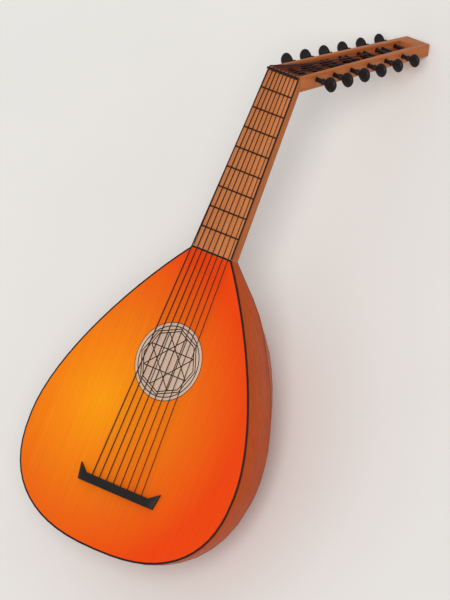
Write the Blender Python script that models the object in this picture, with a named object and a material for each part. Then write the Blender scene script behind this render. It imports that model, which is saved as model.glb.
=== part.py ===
"""A lute with a seven-rib bowl, a bent-back pegbox, eight strings and twelve tuning pegs.

Units are metres and +Z is up. Each piece is drawn in the lute's own frame: the origin lies on top of
the soundboard where the neck meets the body, +Y runs up the neck, +X points to the treble side and
+Z out of the soundboard. The pegbox pieces hang on an empty that is turned back from the neck. At the
end the whole lute is laid on its back, so that the bowl and the far end of the pegbox touch the ground.
"""

import math

import bmesh
import bpy
import numpy as np
from mathutils import Matrix, Vector

GAP = 0.0003  # left between pieces that are glued or seated against each other
CUTTER_REACH = 0.02  # how far a cutter goes past the piece that it cuts

# Body: a pear outline with straightish flanks and a full, blunt tail
BODY_LENGTH = 0.4125
BODY_WIDTH = 0.349
WIDEST_AT = 0.2805  # from the neck joint
SHOULDER_ANGLE = math.radians(41.3)  # between the outline and the centre line at the neck
SHOULDER_PULL = 0.113  # how far the flank keeps the shoulder's direction
BELLY_PULL = 0.0763  # how far the flank keeps parallel to the centre line at its widest
TAIL_FULLNESS = 2.47  # 2 is an ellipse, more is squarer
BOWL_DEPTH = 0.144  # where the body is widest
BOWL_LEAN = 1.0  # how much deeper for its width the bowl is at the neck than where it is widest
RIB_COUNT = 7
RIB_THICKNESS = 0.0020
NECK_BLEND = 0.095  # over which the ribs go from the neck's boxy section to the round bowl
CLASP_SHARE = 0.75  # how far round from the widest place to the tail the end clasp starts
FLANK_STATIONS = 16
TAIL_STATIONS = 8
CLASP_STATIONS = 5

# Soundboard and what is set in it or glued under it
SOUNDBOARD_THICKNESS = 0.0020
EDGING_WIDTH = 0.0022
JOINT_STRIP_WIDTH = 0.0024
UPPER_BARS = 2
LOWER_BARS = 4
BAR_WIDTH = 0.0050
BAR_HEIGHT = 0.0140
BAR_END_CLEARANCE = 0.0014  # to the flat faces of the ribs
NECK_BLOCK_STATIONS = 2  # how many stations of the ribs the block reaches down
NECK_BLOCK_CLEARANCE = 0.0024  # to the ribs, whose faces twist a little here

# Rose: a pierced disc of light wood
ROSE_RADIUS = 0.0518
ROSE_CENTRE = 0.1515  # from the neck joint
ROSE_THICKNESS = 0.0020
ROSE_LINE = 0.0012  # width of an engraved line
ROSE_LINE_DEPTH = 0.0009
ROSE_RING = 0.0468  # radius of the engraved ring inside the border
ROSE_OUTER_OCTAGON = 0.0416  # centre of a side to the middle
ROSE_INNER_OCTAGON = 0.0384
ROSE_SLOT = 0.0013  # width of a slot of the eight-pointed star
ROSE_BRIDGE = 0.0026  # wood left on each side of a crossing or an end of a slot
ROSE_SIDES = 72

# Neck, fingerboard, frets and nut
NECK_LENGTH = 0.250  # from the body to the nut
NECK_WIDTH_JOINT = 0.0644
NECK_WIDTH_NUT = 0.0514
NECK_DEPTH_JOINT = 0.0196
NECK_DEPTH_NUT = 0.0155
NECK_ROUNDING = 0.0050
NECK_ROUNDING_STEPS = 4
FINGERBOARD_THICKNESS = 0.0025
BINDING_WIDTH = 0.0011
FRET_COUNT = 8
FRET_WIDTH = 0.0016
FRET_HEIGHT = 0.0011
FRET_SLOT_DEPTH = 0.0010
NUT_THICKNESS = 0.0036
NUT_HEIGHT = 0.0030  # above the fingerboard
NUT_NOTCH_DEPTH = 0.0009

# Pegbox, in its own frame: x across, t away from the nut, h down from its open side
PEGBOX_BEND = math.radians(67.15)
PEGBOX_LENGTH = 0.281
PEGBOX_WIDTH_END = 0.0388
PEGBOX_HEIGHT_END = 0.0168
HEEL_SETBACK = 0.0165  # how far before the nut the backs of neck and pegbox meet
CHEEK_NUT = 0.0034
CHEEK_END = 0.0080
PEGBOX_FLOOR = 0.0032
HEEL_LENGTH = 0.0130
HEEL_TOP_FRONT = 0.0008  # how far the heel lies below the open side, for the strings to pass
HEEL_TOP_BACK = 0.0032
END_BLOCK_LENGTH = 0.0240
EDGE_ROUNDING = 0.0007

# Pegs
PEGS_A_SIDE = 6
FIRST_PEG = 0.0397  # from the nut to the first treble peg
PEG_STAGGER = 0.0251  # from a treble peg to the bass peg after it
LAST_PEG_TO_BLOCK = 0.0085
PEG_TIP_RADIUS = 0.0023
PEG_FACE_RADIUS = 0.0029  # where it enters its own cheek
PEG_NECK_RADIUS = 0.0042  # where it meets the head
PEG_REACH = 0.0232  # from the cheek to the middle of the head
PEG_HEAD_LENGTH = 0.0182
PEG_HEAD_HEIGHT = 0.0206
PEG_HEAD_THICKNESS = 0.0076
PEG_SMALLEST = 0.84  # size of the last peg's head, as a share of the first
PEG_HOLE_CLEARANCE = 0.00045
PEG_BLIND_END = 0.0012  # wood left at the end of a peg's blind hole
PEG_SIDES = 12

# Strings
STRING_COUNT = 8
SCALE_LENGTH = 0.574  # from nut to bridge
STRING_SPAN_NUT = 0.0432
STRING_SPAN_BRIDGE = 0.0840
STRING_THIN = 0.0011
STRING_THICK = 0.0016
STRING_BRIDGE_HEIGHT = 0.0052
COIL_TURNS = 2
COIL_POINTS = 10  # in one turn
COIL_GAP = 0.00055  # between neighbouring turns
LANE_CLEARANCE = 0.0006
NUT_OVERRUN = 0.0016  # how far behind the nut a string bends down
BEND_RADIUS = 0.0012

# Bridge
BRIDGE_LENGTH = 0.1268
BRIDGE_BAR = 0.0115  # from its front to its back edge
BRIDGE_HEIGHT = 0.0078
HORN_INSET = 0.0089  # from the end of the bar to the root of its horn
HORN_REACH = 0.0103  # towards the neck
HORN_FLARE = 0.0041  # outwards
HORN_HEIGHT = 0.0030
BRIDGE_HOLE_CLEARANCE = 0.0004

ROUND_SIDES = 12

FINISHES = {
    "spruce_orange": ((247, 110, 2), 0.32),
    "rose_wood": ((212, 184, 163), 0.60),
    "rib_brown": ((170, 70, 3), 0.28),
    "neck_wood": ((173, 99, 50), 0.42),
    "fingerboard_wood": ((208, 132, 82), 0.45),
    "pegbox_wood": ((182, 104, 52), 0.42),
    "bare_wood": ((205, 160, 105), 0.70),
    "dark_wood": ((36, 33, 33), 0.38),
    "peg_wood": ((33, 27, 29), 0.35),
    "gut_dark": ((65, 8, 4), 0.40),
}


def srgb_to_linear(value):
    """One 0 to 255 sRGB channel as a linear share."""
    share = value / 255
    return share / 12.92 if share <= 0.04045 else ((share + 0.055) / 1.055) ** 2.4


def finish(name):
    """The material of this name, made when it is first asked for."""
    if name in bpy.data.materials:
        return bpy.data.materials[name]
    colour, roughness = FINISHES[name]
    material = bpy.data.materials.new(name)
    material.use_nodes = True
    shader = material.node_tree.nodes["Principled BSDF"]
    shader.inputs["Base Color"].default_value = (*map(srgb_to_linear, colour), 1.0)
    shader.inputs["Roughness"].default_value = roughness
    shader.inputs["Metallic"].default_value = 0.0
    return material


def mix(a, b, share):
    """The value that lies this share of the way from a to b."""
    return a + (b - a) * share


def empty(name, parent=None, matrix=None):
    """An empty to hang pieces on."""
    holder = bpy.data.objects.new(name, None)
    bpy.context.scene.collection.objects.link(holder)
    holder.parent = parent
    if matrix is not None:
        holder.matrix_local = matrix
    return holder


def add_object(name, data, parent, finish_name):
    """Links a new object under its parent and gives it its material."""
    piece = bpy.data.objects.new(name, data)
    bpy.context.scene.collection.objects.link(piece)
    piece.parent = parent
    if finish_name:
        data.materials.append(finish(finish_name))
    return piece


def mesh_of(name, shapes, smooth_angle=None):
    """A mesh of closed shapes, each a pair of corner points and faces, with its faces pointing out."""
    corners = []
    faces = []
    for points, shape_faces in shapes:
        start = len(corners)
        corners += [tuple(point) for point in points]
        faces += [tuple(start + index for index in face) for face in shape_faces]
    mesh = bpy.data.meshes.new(name)
    mesh.from_pydata(corners, [], faces)
    shape = bmesh.new()
    shape.from_mesh(mesh)
    bmesh.ops.recalc_face_normals(shape, faces=shape.faces)
    shape.to_mesh(mesh)
    shape.free()
    if smooth_angle is not None:
        mesh.shade_smooth()
        mesh.set_sharp_from_angle(angle=math.radians(smooth_angle))
    return mesh


def solid(name, shapes, parent, finish_name, smooth_angle=None):
    """A named piece made of one closed shape."""
    return add_object(name, mesh_of(name, shapes, smooth_angle), parent, finish_name)


def cutter(name, shapes, parent):
    """A helper that other pieces are cut with, itself left out of the lute."""
    piece = add_object(name, mesh_of(name, shapes), parent, None)
    piece.hide_render = True
    piece.display_type = "WIRE"
    return piece


def cut(piece, tool):
    """Takes the tool's shape out of the piece."""
    boolean = piece.modifiers.new("cut_" + tool.name, "BOOLEAN")
    boolean.operation = "DIFFERENCE"
    boolean.solver = "EXACT"
    boolean.object = tool


def round_edges(piece, width, segments=2):
    """Eases the sharp edges of a piece."""
    bevel = piece.modifiers.new("eased_edges", "BEVEL")
    bevel.width = width
    bevel.segments = segments
    bevel.limit_method = "ANGLE"
    bevel.angle_limit = math.radians(35)


def loft(rings):
    """A closed shape through rings of equally many points, with a flat cap on each end."""
    size = len(rings[0])
    points = [point for ring in rings for point in ring]
    faces = [tuple(range(size)), tuple(range(len(points) - size, len(points)))]
    for start in range(0, len(points) - size, size):
        for i in range(size):
            j = (i + 1) % size
            faces.append((start + i, start + j, start + size + j, start + size + i))
    return points, faces


def prism(outline, low, high):
    """An outline in x and y, pulled up from one height to another."""
    return loft([[(x, y, low) for x, y in outline], [(x, y, high) for x, y in outline]])


def box(low, high):
    """A box between two opposite corners."""
    outline = [(low[0], low[1]), (high[0], low[1]), (high[0], high[1]), (low[0], high[1])]
    return prism(outline, low[2], high[2])


def ring_prism(outer, inner, low, high):
    """The band between two closed outlines of equally many points, pulled up between two heights."""
    size = len(outer)
    points = []
    for outline, height in ((outer, low), (inner, low), (inner, high), (outer, high)):
        points += [(x, y, height) for x, y in outline]
    faces = []
    for i in range(size):
        j = (i + 1) % size
        for band in range(4):
            a = band * size
            b = (band + 1) % 4 * size
            faces.append((a + i, a + j, b + j, b + i))
    return points, faces


def polygon(radius, sides, centre=(0.0, 0.0), turn=0.0):
    """The corners of a regular polygon, by its circle's radius."""
    angles = [turn + 2 * math.pi * i / sides for i in range(sides)]
    return [(centre[0] + radius * math.cos(a), centre[1] + radius * math.sin(a)) for a in angles]


def tube_along_y(centre, radius, low, high):
    """A round bar along y through a point in x and z."""
    rings = []
    for y in (low, high):
        rings.append([(x, y, z) for x, z in polygon(radius, ROUND_SIDES, centre)])
    return loft(rings)


# Outline of the body, followed by u: 0 at the neck, 1 at the widest place, 2 at the tail

def flank_point(u):
    """A point (distance down the body, half width) of the outline above the widest place."""
    start = (0.0, NECK_WIDTH_JOINT / 2)
    end = (WIDEST_AT, BODY_WIDTH / 2)
    shoulder = (
        start[0] + SHOULDER_PULL * math.cos(SHOULDER_ANGLE),
        start[1] + SHOULDER_PULL * math.sin(SHOULDER_ANGLE),
    )
    belly = (end[0] - BELLY_PULL, end[1])
    weights = ((1 - u) ** 3, 3 * u * (1 - u) ** 2, 3 * u * u * (1 - u), u**3)
    handles = (start, shoulder, belly, end)
    return tuple(sum(w * p[i] for w, p in zip(weights, handles)) for i in (0, 1))


def outline_point(u):
    """A point (distance down the body, half width) of the outline."""
    if u <= 1:
        return flank_point(u)
    angle = min(u - 1, 1) * math.pi / 2
    power = 2 / TAIL_FULLNESS
    down = WIDEST_AT + (BODY_LENGTH - WIDEST_AT) * math.sin(angle) ** power
    return down, BODY_WIDTH / 2 * max(math.cos(angle), 0.0) ** power


def inset_point(u, distance):
    """The outline's point moved into the body, square to the outline, and level at the two ends."""
    down, half = outline_point(u)
    if u >= 2:
        return down - distance, 0.0
    step = 1e-4
    before = outline_point(max(u - step, 0.0))
    after = outline_point(min(u + step, 2.0))
    along = Vector((after[0] - before[0], after[1] - before[1])).normalized()
    if u <= 0:
        return down, half - distance / along.x
    return down + along.y * distance, half - along.x * distance


def u_at(down, distance=0.0):
    """Where on the outline, moved in by a distance, a place down the body lies."""
    low, high = 0.0, 1.0 if down < inset_point(1.0, distance)[0] else 2.0
    for _ in range(50):
        middle = (low + high) / 2
        if inset_point(middle, distance)[0] < down:
            low = middle
        else:
            high = middle
    return (low + high) / 2


def half_width_at(down, distance=0.0):
    """The body's half width at a place down the body, moved in by a distance."""
    return inset_point(u_at(down, distance), distance)[1]


def spaced(start, end, count):
    """Evenly spaced values from start to end, both included."""
    return [mix(start, end, i / (count - 1)) for i in range(count)]


# Section of the bowl: seam 0 lies at the treble edge of the soundboard, the last at the bass edge

BOWL_TOP = -(SOUNDBOARD_THICKNESS + GAP)


def neck_section_shape(seam):
    """A seam's place on the boxy section at the neck, where all ribs are equally wide."""
    half = NECK_WIDTH_JOINT / 2
    depth = NECK_DEPTH_JOINT + BOWL_TOP
    along = (2 * depth + 2 * half) * seam / RIB_COUNT
    if along <= depth:
        return 1.0, along / depth
    if along >= depth + 2 * half:
        return -1.0, (2 * depth + 2 * half - along) / depth
    return (half - (along - depth)) / half, 1.0


def round_section_shape(seam):
    """A seam's place on the round section of the bowl, where all ribs span equal angles."""
    angle = math.pi * seam / RIB_COUNT
    return math.cos(angle), max(math.sin(angle), 0.0)


def bowl_point(u, seam, distance=0.0):
    """A point on a seam of the bowl, moved in from the outer face by a distance."""
    down, half = outline_point(u)
    inner_down, inner_half = inset_point(u, distance)
    blend = min(down / NECK_BLEND, 1.0)
    blend = blend * blend * (3 - 2 * blend)
    across, deep = (
        mix(a, b, blend) for a, b in zip(neck_section_shape(seam), round_section_shape(seam))
    )
    neck_share = (NECK_DEPTH_JOINT + BOWL_TOP) / (NECK_WIDTH_JOINT / 2)
    lowest = round_section_shape((RIB_COUNT - 1) // 2)[1]
    bowl_share = (BOWL_DEPTH + BOWL_TOP) / (BODY_WIDTH / 2) / lowest
    bowl_share *= 1 + BOWL_LEAN * (1 - down / WIDEST_AT)
    share = mix(neck_share, bowl_share, blend)
    depth = share * half - max(share, 1.0) * (half - inner_half)
    return Vector((inner_half * across, -inner_down, BOWL_TOP - depth * deep))


def clasp_edge(side):
    """Where the ribs end, -1, or the end clasp starts, 1, half a gap to either side of the joint."""
    step = 1e-4
    start = 1 + CLASP_SHARE
    a = outline_point(start)
    b = outline_point(start + step)
    return start + side * GAP / 2 * step / math.hypot(b[0] - a[0], b[1] - a[1])


def rib_stations():
    """Where along the outline the ribs have their sections."""
    return spaced(0.0, 1.0, FLANK_STATIONS) + spaced(1.0, clasp_edge(-1), TAIL_STATIONS)[1:]


def rib(index):
    """One flat stave of the bowl, from the neck to the end clasp."""
    rings = []
    for u in rib_stations():
        edges = []
        for distance in (0.0, RIB_THICKNESS):
            first = bowl_point(u, index, distance)
            second = bowl_point(u, index + 1, distance)
            if u == 0.0:
                first.y = second.y = -GAP / 2
            inset = (second - first).normalized() * GAP / 2
            edges += [first + inset, second - inset]
        rings.append([edges[0], edges[1], edges[3], edges[2]])
    return loft(rings)


def end_clasp():
    """The cap at the tail in which the ribs come together."""
    seams = range(RIB_COUNT + 1)
    rings = []
    for u in spaced(clasp_edge(1), 2.0, CLASP_STATIONS)[:-1]:
        outer = [bowl_point(u, seam) for seam in seams]
        inner = [bowl_point(u, seam, RIB_THICKNESS) for seam in reversed(seams)]
        rings.append(outer + inner)
    size = len(rings[0])
    last = (len(rings) - 1) * size
    points, faces = loft(rings)
    faces = faces[:1] + faces[2:]
    tail_outer = len(points)
    tail_inner = tail_outer + 1
    points += [Vector((0, -BODY_LENGTH, BOWL_TOP)), Vector((0, -BODY_LENGTH + RIB_THICKNESS, BOWL_TOP))]
    for i in range(RIB_COUNT):
        faces.append((last + i, last + i + 1, tail_outer))
        faces.append((last + RIB_COUNT + 1 + i, last + RIB_COUNT + 2 + i, tail_inner))
    faces.append((last + RIB_COUNT, last + RIB_COUNT + 1, tail_inner, tail_outer))
    faces.append((last + size - 1, last, tail_outer, tail_inner))
    return points, faces


def neck_block():
    """The block inside the bowl that the neck and the ends of the ribs are glued to."""
    distance = RIB_THICKNESS + NECK_BLOCK_CLEARANCE
    rings = []
    for u in rib_stations()[: NECK_BLOCK_STATIONS + 1]:
        ring = [bowl_point(u, seam, distance) for seam in range(RIB_COUNT + 1)]
        if u == 0.0:
            for point in ring:
                point.y = -GAP / 2
        rings.append(ring)
    return loft(rings)


def build_bowl(lute):
    """The ribs, the end clasp and the neck block."""
    for index in range(RIB_COUNT):
        solid(f"bowl_rib_{index + 1}", [rib(index)], lute, "rib_brown")
    solid("end_clasp", [end_clasp()], lute, "rib_brown")
    solid("neck_block", [neck_block()], lute, "bare_wood")


# Soundboard

def inset_outline(distance, start):
    """The body's outline from the treble end of the joint round the tail to its bass end, moved in."""
    first = u_at(start, distance) if start > 0 else 0.0
    stops = spaced(first, 1.0, FLANK_STATIONS) + spaced(1.0, 2.0, TAIL_STATIONS + 8)[1:]
    treble = [inset_point(u, distance) for u in stops]
    treble[0] = (max(start, GAP / 2), treble[0][1])
    right = [(half, -down) for down, half in treble]
    left = [(-x, y) for x, y in reversed(right[:-1])]
    return right + left


def soundboard_edging():
    """The dark strip let in round the edge of the soundboard."""
    outer = inset_outline(0.0, 0.0)
    inner = inset_outline(EDGING_WIDTH, 0.0)
    rings = []
    for (x, y), (inner_x, inner_y) in zip(outer, inner):
        low = -SOUNDBOARD_THICKNESS
        rings.append([(x, y, 0), (x, y, low), (inner_x, inner_y, low), (inner_x, inner_y, 0)])
    return loft(rings)


def neck_block_length():
    """How far down the body the neck block reaches."""
    return inset_point(rib_stations()[NECK_BLOCK_STATIONS], RIB_THICKNESS + NECK_BLOCK_CLEARANCE)[0]


def bar_places():
    """How far down the body each bar under the soundboard lies, clear of block, rose and bridge."""
    rose_top = ROSE_CENTRE - ROSE_RADIUS
    rose_end = ROSE_CENTRE + ROSE_RADIUS
    bridge = SCALE_LENGTH - NECK_LENGTH
    upper_step = (rose_top - neck_block_length()) / (UPPER_BARS + 0.5)
    lower_step = (bridge - rose_end) / (LOWER_BARS + 0.5)
    upper = [rose_top - upper_step * (i + 0.35) for i in reversed(range(UPPER_BARS))]
    return upper + [rose_end + lower_step * (i + 0.35) for i in range(LOWER_BARS)]


def bar(down):
    """A bar across the underside of the soundboard, its ends cut to lie against the ribs."""
    distance = RIB_THICKNESS + BAR_END_CLEARANCE
    rings = []
    for place in (down - BAR_WIDTH / 2, down + BAR_WIDTH / 2):
        u = u_at(place, distance)
        edge = bowl_point(u, 0, distance)
        seam = bowl_point(u, 1, distance)
        slope = (edge.x - seam.x) / (edge.z - seam.z)
        low = BOWL_TOP - BAR_HEIGHT
        low_half = edge.x - slope * BAR_HEIGHT
        y = down - place
        rings.append(
            [(edge.x, y, BOWL_TOP), (low_half, y, low), (-low_half, y, low), (-edge.x, y, BOWL_TOP)]
        )
    return loft(rings)


def star_chords():
    """The eight lines of the star, each joining two of its tips three apart, as pairs of points."""
    tips = polygon(ROSE_INNER_OCTAGON, 8, turn=math.pi / 8)
    return [(Vector(tips[i]), Vector(tips[(i + 3) % 8])) for i in range(8)]


def crossings(chord, others):
    """How far along a line, as a share, each other line crosses it."""
    start, end = chord
    along = end - start
    shares = []
    for other_start, other_end in others:
        across = other_end - other_start
        turn = along.x * across.y - along.y * across.x
        if abs(turn) < 1e-12:
            continue
        offset = other_start - start
        share = (offset.x * across.y - offset.y * across.x) / turn
        other_share = (offset.x * along.y - offset.y * along.x) / turn
        if 1e-6 < share < 1 - 1e-6 and 1e-6 < other_share < 1 - 1e-6:
            shares.append(share)
    return sorted(shares)


def star_slots(centre):
    """Cutters for the star: a slot along each stretch of its lines, with wood left at each crossing."""
    chords = star_chords()
    shapes = []
    for number, chord in enumerate(chords):
        start, end = chord
        length = (end - start).length
        along = (end - start) / length
        side = Vector((-along.y, along.x)) * ROSE_SLOT / 2
        others = chords[:number] + chords[number + 1 :]
        stops = [0.0] + [share * length for share in crossings(chord, others)] + [length]
        for low, high in zip(stops[:-1], stops[1:]):
            low += ROSE_BRIDGE
            high -= ROSE_BRIDGE
            if high - low < ROSE_SLOT:
                continue
            a = start + along * low
            b = start + along * high
            corners = [a - side, b - side, b + side, a + side]
            outline = [(centre[0] + c.x, centre[1] + c.y) for c in corners]
            shapes.append(prism(outline, -2 * ROSE_THICKNESS, ROSE_THICKNESS))
    return shapes


def rose_grooves(centre):
    """Cutters for the engraved ring and the two octagons round the star."""
    corner = 1 / math.cos(math.pi / 8)
    rings = (
        (ROSE_RING, ROSE_SIDES, 1.0),
        (ROSE_OUTER_OCTAGON, 8, corner),
        (ROSE_INNER_OCTAGON, 8, corner),
    )
    shapes = []
    for middle, sides, reach in rings:
        outer = polygon((middle + ROSE_LINE / 2) * reach, sides, centre)
        inner = polygon((middle - ROSE_LINE / 2) * reach, sides, centre)
        shapes.append(ring_prism(outer, inner, -ROSE_LINE_DEPTH, ROSE_THICKNESS))
    return shapes


def bridge_shape():
    """The bar that holds the strings, with a horn at each end that points up the soundboard."""
    front = -(SCALE_LENGTH - NECK_LENGTH)
    back = front - BRIDGE_BAR
    end = BRIDGE_LENGTH / 2
    root = end - HORN_INSET
    tip = (end + HORN_FLARE, front + HORN_REACH)
    half = [(root, front, BRIDGE_HEIGHT), (*tip, HORN_HEIGHT), (end, back, HORN_HEIGHT)]
    half.append((root, back, BRIDGE_HEIGHT))
    top = half + [(-x, y, z) for x, y, z in reversed(half)]
    low = [(x, y, GAP) for x, y, _ in top]
    size = len(top)
    faces = [(i, (i + 1) % size, size + (i + 1) % size, size + i) for i in range(size)]
    for start in (0, size):
        faces += [tuple(start + i for i in face) for face in ((0, 1, 2, 3), (4, 5, 6, 7), (0, 3, 4, 7))]
    return low + top, faces


def build_soundboard(lute):
    """The soundboard with its edging, rose, bars and bridge."""
    strip_end = JOINT_STRIP_WIDTH + GAP
    board = [prism(inset_outline(EDGING_WIDTH + GAP, strip_end), -SOUNDBOARD_THICKNESS, 0)]
    soundboard = solid("soundboard", board, lute, "spruce_orange")
    solid("soundboard_edging", [soundboard_edging()], lute, "dark_wood")
    strip_half = half_width_at(JOINT_STRIP_WIDTH, EDGING_WIDTH + GAP)
    first_half = inset_point(0.0, EDGING_WIDTH + GAP)[1]
    strip = [(first_half, -GAP / 2), (strip_half, -JOINT_STRIP_WIDTH)]
    strip += [(-x, y) for x, y in reversed(strip)]
    solid("joint_strip", [prism(strip, -SOUNDBOARD_THICKNESS, 0)], lute, "dark_wood")

    centre = (0.0, -ROSE_CENTRE)
    hole = prism(polygon(ROSE_RADIUS + GAP, ROSE_SIDES, centre), -CUTTER_REACH, CUTTER_REACH)
    cut(soundboard, cutter("rose_hole_cutter", [hole], lute))
    disc = prism(polygon(ROSE_RADIUS, ROSE_SIDES, centre), -ROSE_THICKNESS, 0)
    rose = solid("rose", [disc], lute, "rose_wood")
    cut(rose, cutter("rose_line_cutter", rose_grooves(centre), lute))
    cut(rose, cutter("rose_slot_cutter", star_slots(centre), lute))

    for number, down in enumerate(bar_places(), start=1):
        piece = solid(f"soundboard_bar_{number}", [bar(down)], lute, "bare_wood")
        piece.location.y = -down

    bridge = solid("bridge", [bridge_shape()], lute, "dark_wood")
    front = -(SCALE_LENGTH - NECK_LENGTH)
    holes = []
    for number in range(STRING_COUNT):
        place = (string_x(number, STRING_SPAN_BRIDGE), STRING_BRIDGE_HEIGHT)
        radius = string_radius(number) + BRIDGE_HOLE_CLEARANCE
        holes.append(tube_along_y(place, radius, front - 2 * BRIDGE_BAR, front + BRIDGE_BAR))
    cut(bridge, cutter("bridge_hole_cutter", holes, lute))


# Neck

def neck_half_width(y):
    """Half the width of neck and fingerboard at a place up the neck."""
    return mix(NECK_WIDTH_JOINT, NECK_WIDTH_NUT, y / NECK_LENGTH) / 2


NECK_TOP = -(FINGERBOARD_THICKNESS + GAP)


def heel_corner():
    """Where the backs of neck and pegbox meet, in y and z."""
    return Vector((NECK_LENGTH - HEEL_SETBACK, -NECK_DEPTH_NUT))


def splice_top():
    """Where the slanting joint of neck and pegbox reaches the pegbox's open side, in y and z."""
    t = -NECK_TOP / math.sin(PEGBOX_BEND)
    return Vector((NECK_LENGTH + t * math.cos(PEGBOX_BEND), NECK_TOP))


def neck_shape():
    """The neck: flat under the fingerboard, upright sides, a flat back with rounded corners."""
    depth = NECK_DEPTH_JOINT + NECK_TOP
    profile = [(0.0, 0.0)]  # in from the side, and down from the top
    for i in range(NECK_ROUNDING_STEPS + 1):
        angle = math.pi / 2 * i / NECK_ROUNDING_STEPS
        inset = NECK_ROUNDING * (1 - math.cos(angle))
        profile.append((inset, depth - NECK_ROUNDING * (1 - math.sin(angle))))
    root = []
    end = []
    clear = Vector((GAP, 0.0))
    for inset, down in profile:
        root.append((neck_half_width(0) - inset, GAP / 2, NECK_TOP - down))
        y, z = splice_top().lerp(heel_corner(), down / depth) - clear
        end.append((neck_half_width(y) - inset, y, z))
    rings = [ring + [(-x, y, z) for x, y, z in reversed(ring)] for ring in (root, end)]
    return loft(rings)


def fret_places():
    """How far up the neck each fret lies, all equally far apart."""
    return [NECK_LENGTH * number / (FRET_COUNT + 1) for number in range(1, FRET_COUNT + 1)]


def fret_shape(half):
    """A fret: a low bar with a rounded top, its foot in a slot of the fingerboard."""
    side = FRET_WIDTH / 2
    foot = GAP - FRET_SLOT_DEPTH
    shoulder = FRET_HEIGHT * 0.45
    section = [(-side, foot), (side, foot), (side, shoulder), (side * 0.6, FRET_HEIGHT * 0.88)]
    section += [(0, FRET_HEIGHT), (-side * 0.6, FRET_HEIGHT * 0.88), (-side, shoulder)]
    return loft([[(x, y, z) for y, z in section] for x in (-half, half)])


def build_neck(lute):
    """The neck with its fingerboard, bindings, frets and nut."""
    solid("neck", [neck_shape()], lute, "neck_wood", smooth_angle=40)
    board_end = NECK_LENGTH - NUT_THICKNESS - GAP
    start = GAP / 2
    inner = [neck_half_width(y) - BINDING_WIDTH - GAP for y in (start, board_end)]
    outline = [(inner[0], start), (inner[1], board_end), (-inner[1], board_end), (-inner[0], start)]
    board = [prism(outline, -FINGERBOARD_THICKNESS, 0)]
    fingerboard = solid("fingerboard", board, lute, "fingerboard_wood")
    for name, side in (("bass", -1), ("treble", 1)):
        strip = [(side * (neck_half_width(y) - BINDING_WIDTH), y) for y in (start, board_end)]
        strip += [(side * neck_half_width(y), y) for y in (board_end, start)]
        shape = prism(strip, -FINGERBOARD_THICKNESS, 0)
        solid(f"fingerboard_binding_{name}", [shape], lute, "dark_wood")

    slots = []
    for number, y in enumerate(fret_places(), start=1):
        half = neck_half_width(y) - BINDING_WIDTH - 2 * GAP
        fret = solid(f"fret_{number}", [fret_shape(half)], lute, "dark_wood", smooth_angle=60)
        fret.location.y = y
        side = FRET_WIDTH / 2 + GAP
        slots.append(box((-NECK_WIDTH_JOINT, y - side, -FRET_SLOT_DEPTH), (NECK_WIDTH_JOINT, y + side, 1)))
    cut(fingerboard, cutter("fret_slot_cutter", slots, lute))

    nut_low = (-neck_half_width(NECK_LENGTH), NECK_LENGTH - NUT_THICKNESS, NECK_TOP + GAP)
    nut_high = (neck_half_width(NECK_LENGTH), NECK_LENGTH, NUT_HEIGHT)
    nut = solid("nut", [box(nut_low, nut_high)], lute, "dark_wood")
    round_edges(nut, EDGE_ROUNDING)
    notches = []
    for number in range(STRING_COUNT):
        x = string_x(number, STRING_SPAN_NUT)
        side = string_radius(number) + GAP
        notches.append(
            box(
                (x - side, NECK_LENGTH - 2 * NUT_THICKNESS, NUT_HEIGHT - NUT_NOTCH_DEPTH),
                (x + side, NECK_LENGTH + NUT_THICKNESS, 2 * NUT_HEIGHT),
            )
        )
    cut(nut, cutter("nut_notch_cutter", notches, lute))


# Pegbox, in its own frame: local x across, local y away from the nut, local -z down from the open side

def to_pegbox(y, z):
    """A point of the lute's middle plane as t and h of the pegbox."""
    across = y - NECK_LENGTH
    sine = math.sin(PEGBOX_BEND)
    cosine = math.cos(PEGBOX_BEND)
    return across * cosine - z * sine, -across * sine - z * cosine


def pegbox_height(t):
    """How deep the pegbox is from its open side to its back."""
    heel_t, heel_h = to_pegbox(*heel_corner())
    return mix(heel_h, PEGBOX_HEIGHT_END, (t - heel_t) / (PEGBOX_LENGTH - heel_t))


def splice_t(h):
    """Where the joint with the neck lies at a depth, with a gap to the neck."""
    top_t, top_h = to_pegbox(*splice_top())
    heel_t, heel_h = to_pegbox(*heel_corner())
    return mix(top_t, heel_t, (h - top_h) / (heel_h - top_h)) + GAP


def outer_half(t):
    """Half the width over the cheeks."""
    return mix(NECK_WIDTH_NUT, PEGBOX_WIDTH_END, t / PEGBOX_LENGTH) / 2


def recess_half(t):
    """Half the width between the cheeks."""
    return outer_half(t) - mix(CHEEK_NUT, CHEEK_END, t / PEGBOX_LENGTH)


def pegbox_block(inner, outer, near, far):
    """A block with four corners at each end: near and far give the t and h of its top and its back."""
    rings = []
    for (top_t, top_h), (back_t, back_h) in (near, far):
        rings.append(
            [
                (inner(top_t), top_t, -top_h),
                (outer(top_t), top_t, -top_h),
                (outer(back_t), back_t, -back_h),
                (inner(back_t), back_t, -back_h),
            ]
        )
    return loft(rings)


def cheek(side):
    """A side wall of the pegbox, from the joint with the neck to the far end."""
    near_back = to_pegbox(*heel_corner())
    near = ((splice_t(0), 0.0), (near_back[0] + GAP, near_back[1]))
    far = ((PEGBOX_LENGTH, 0.0), (PEGBOX_LENGTH, PEGBOX_HEIGHT_END))
    return pegbox_block(lambda t: side * recess_half(t), lambda t: side * outer_half(t), near, far)


def between_cheeks(near, far):
    """A block that fills the width between the cheeks."""
    return pegbox_block(
        lambda t: -recess_half(t) + GAP,
        lambda t: recess_half(t) - GAP,
        near,
        far,
    )


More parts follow.
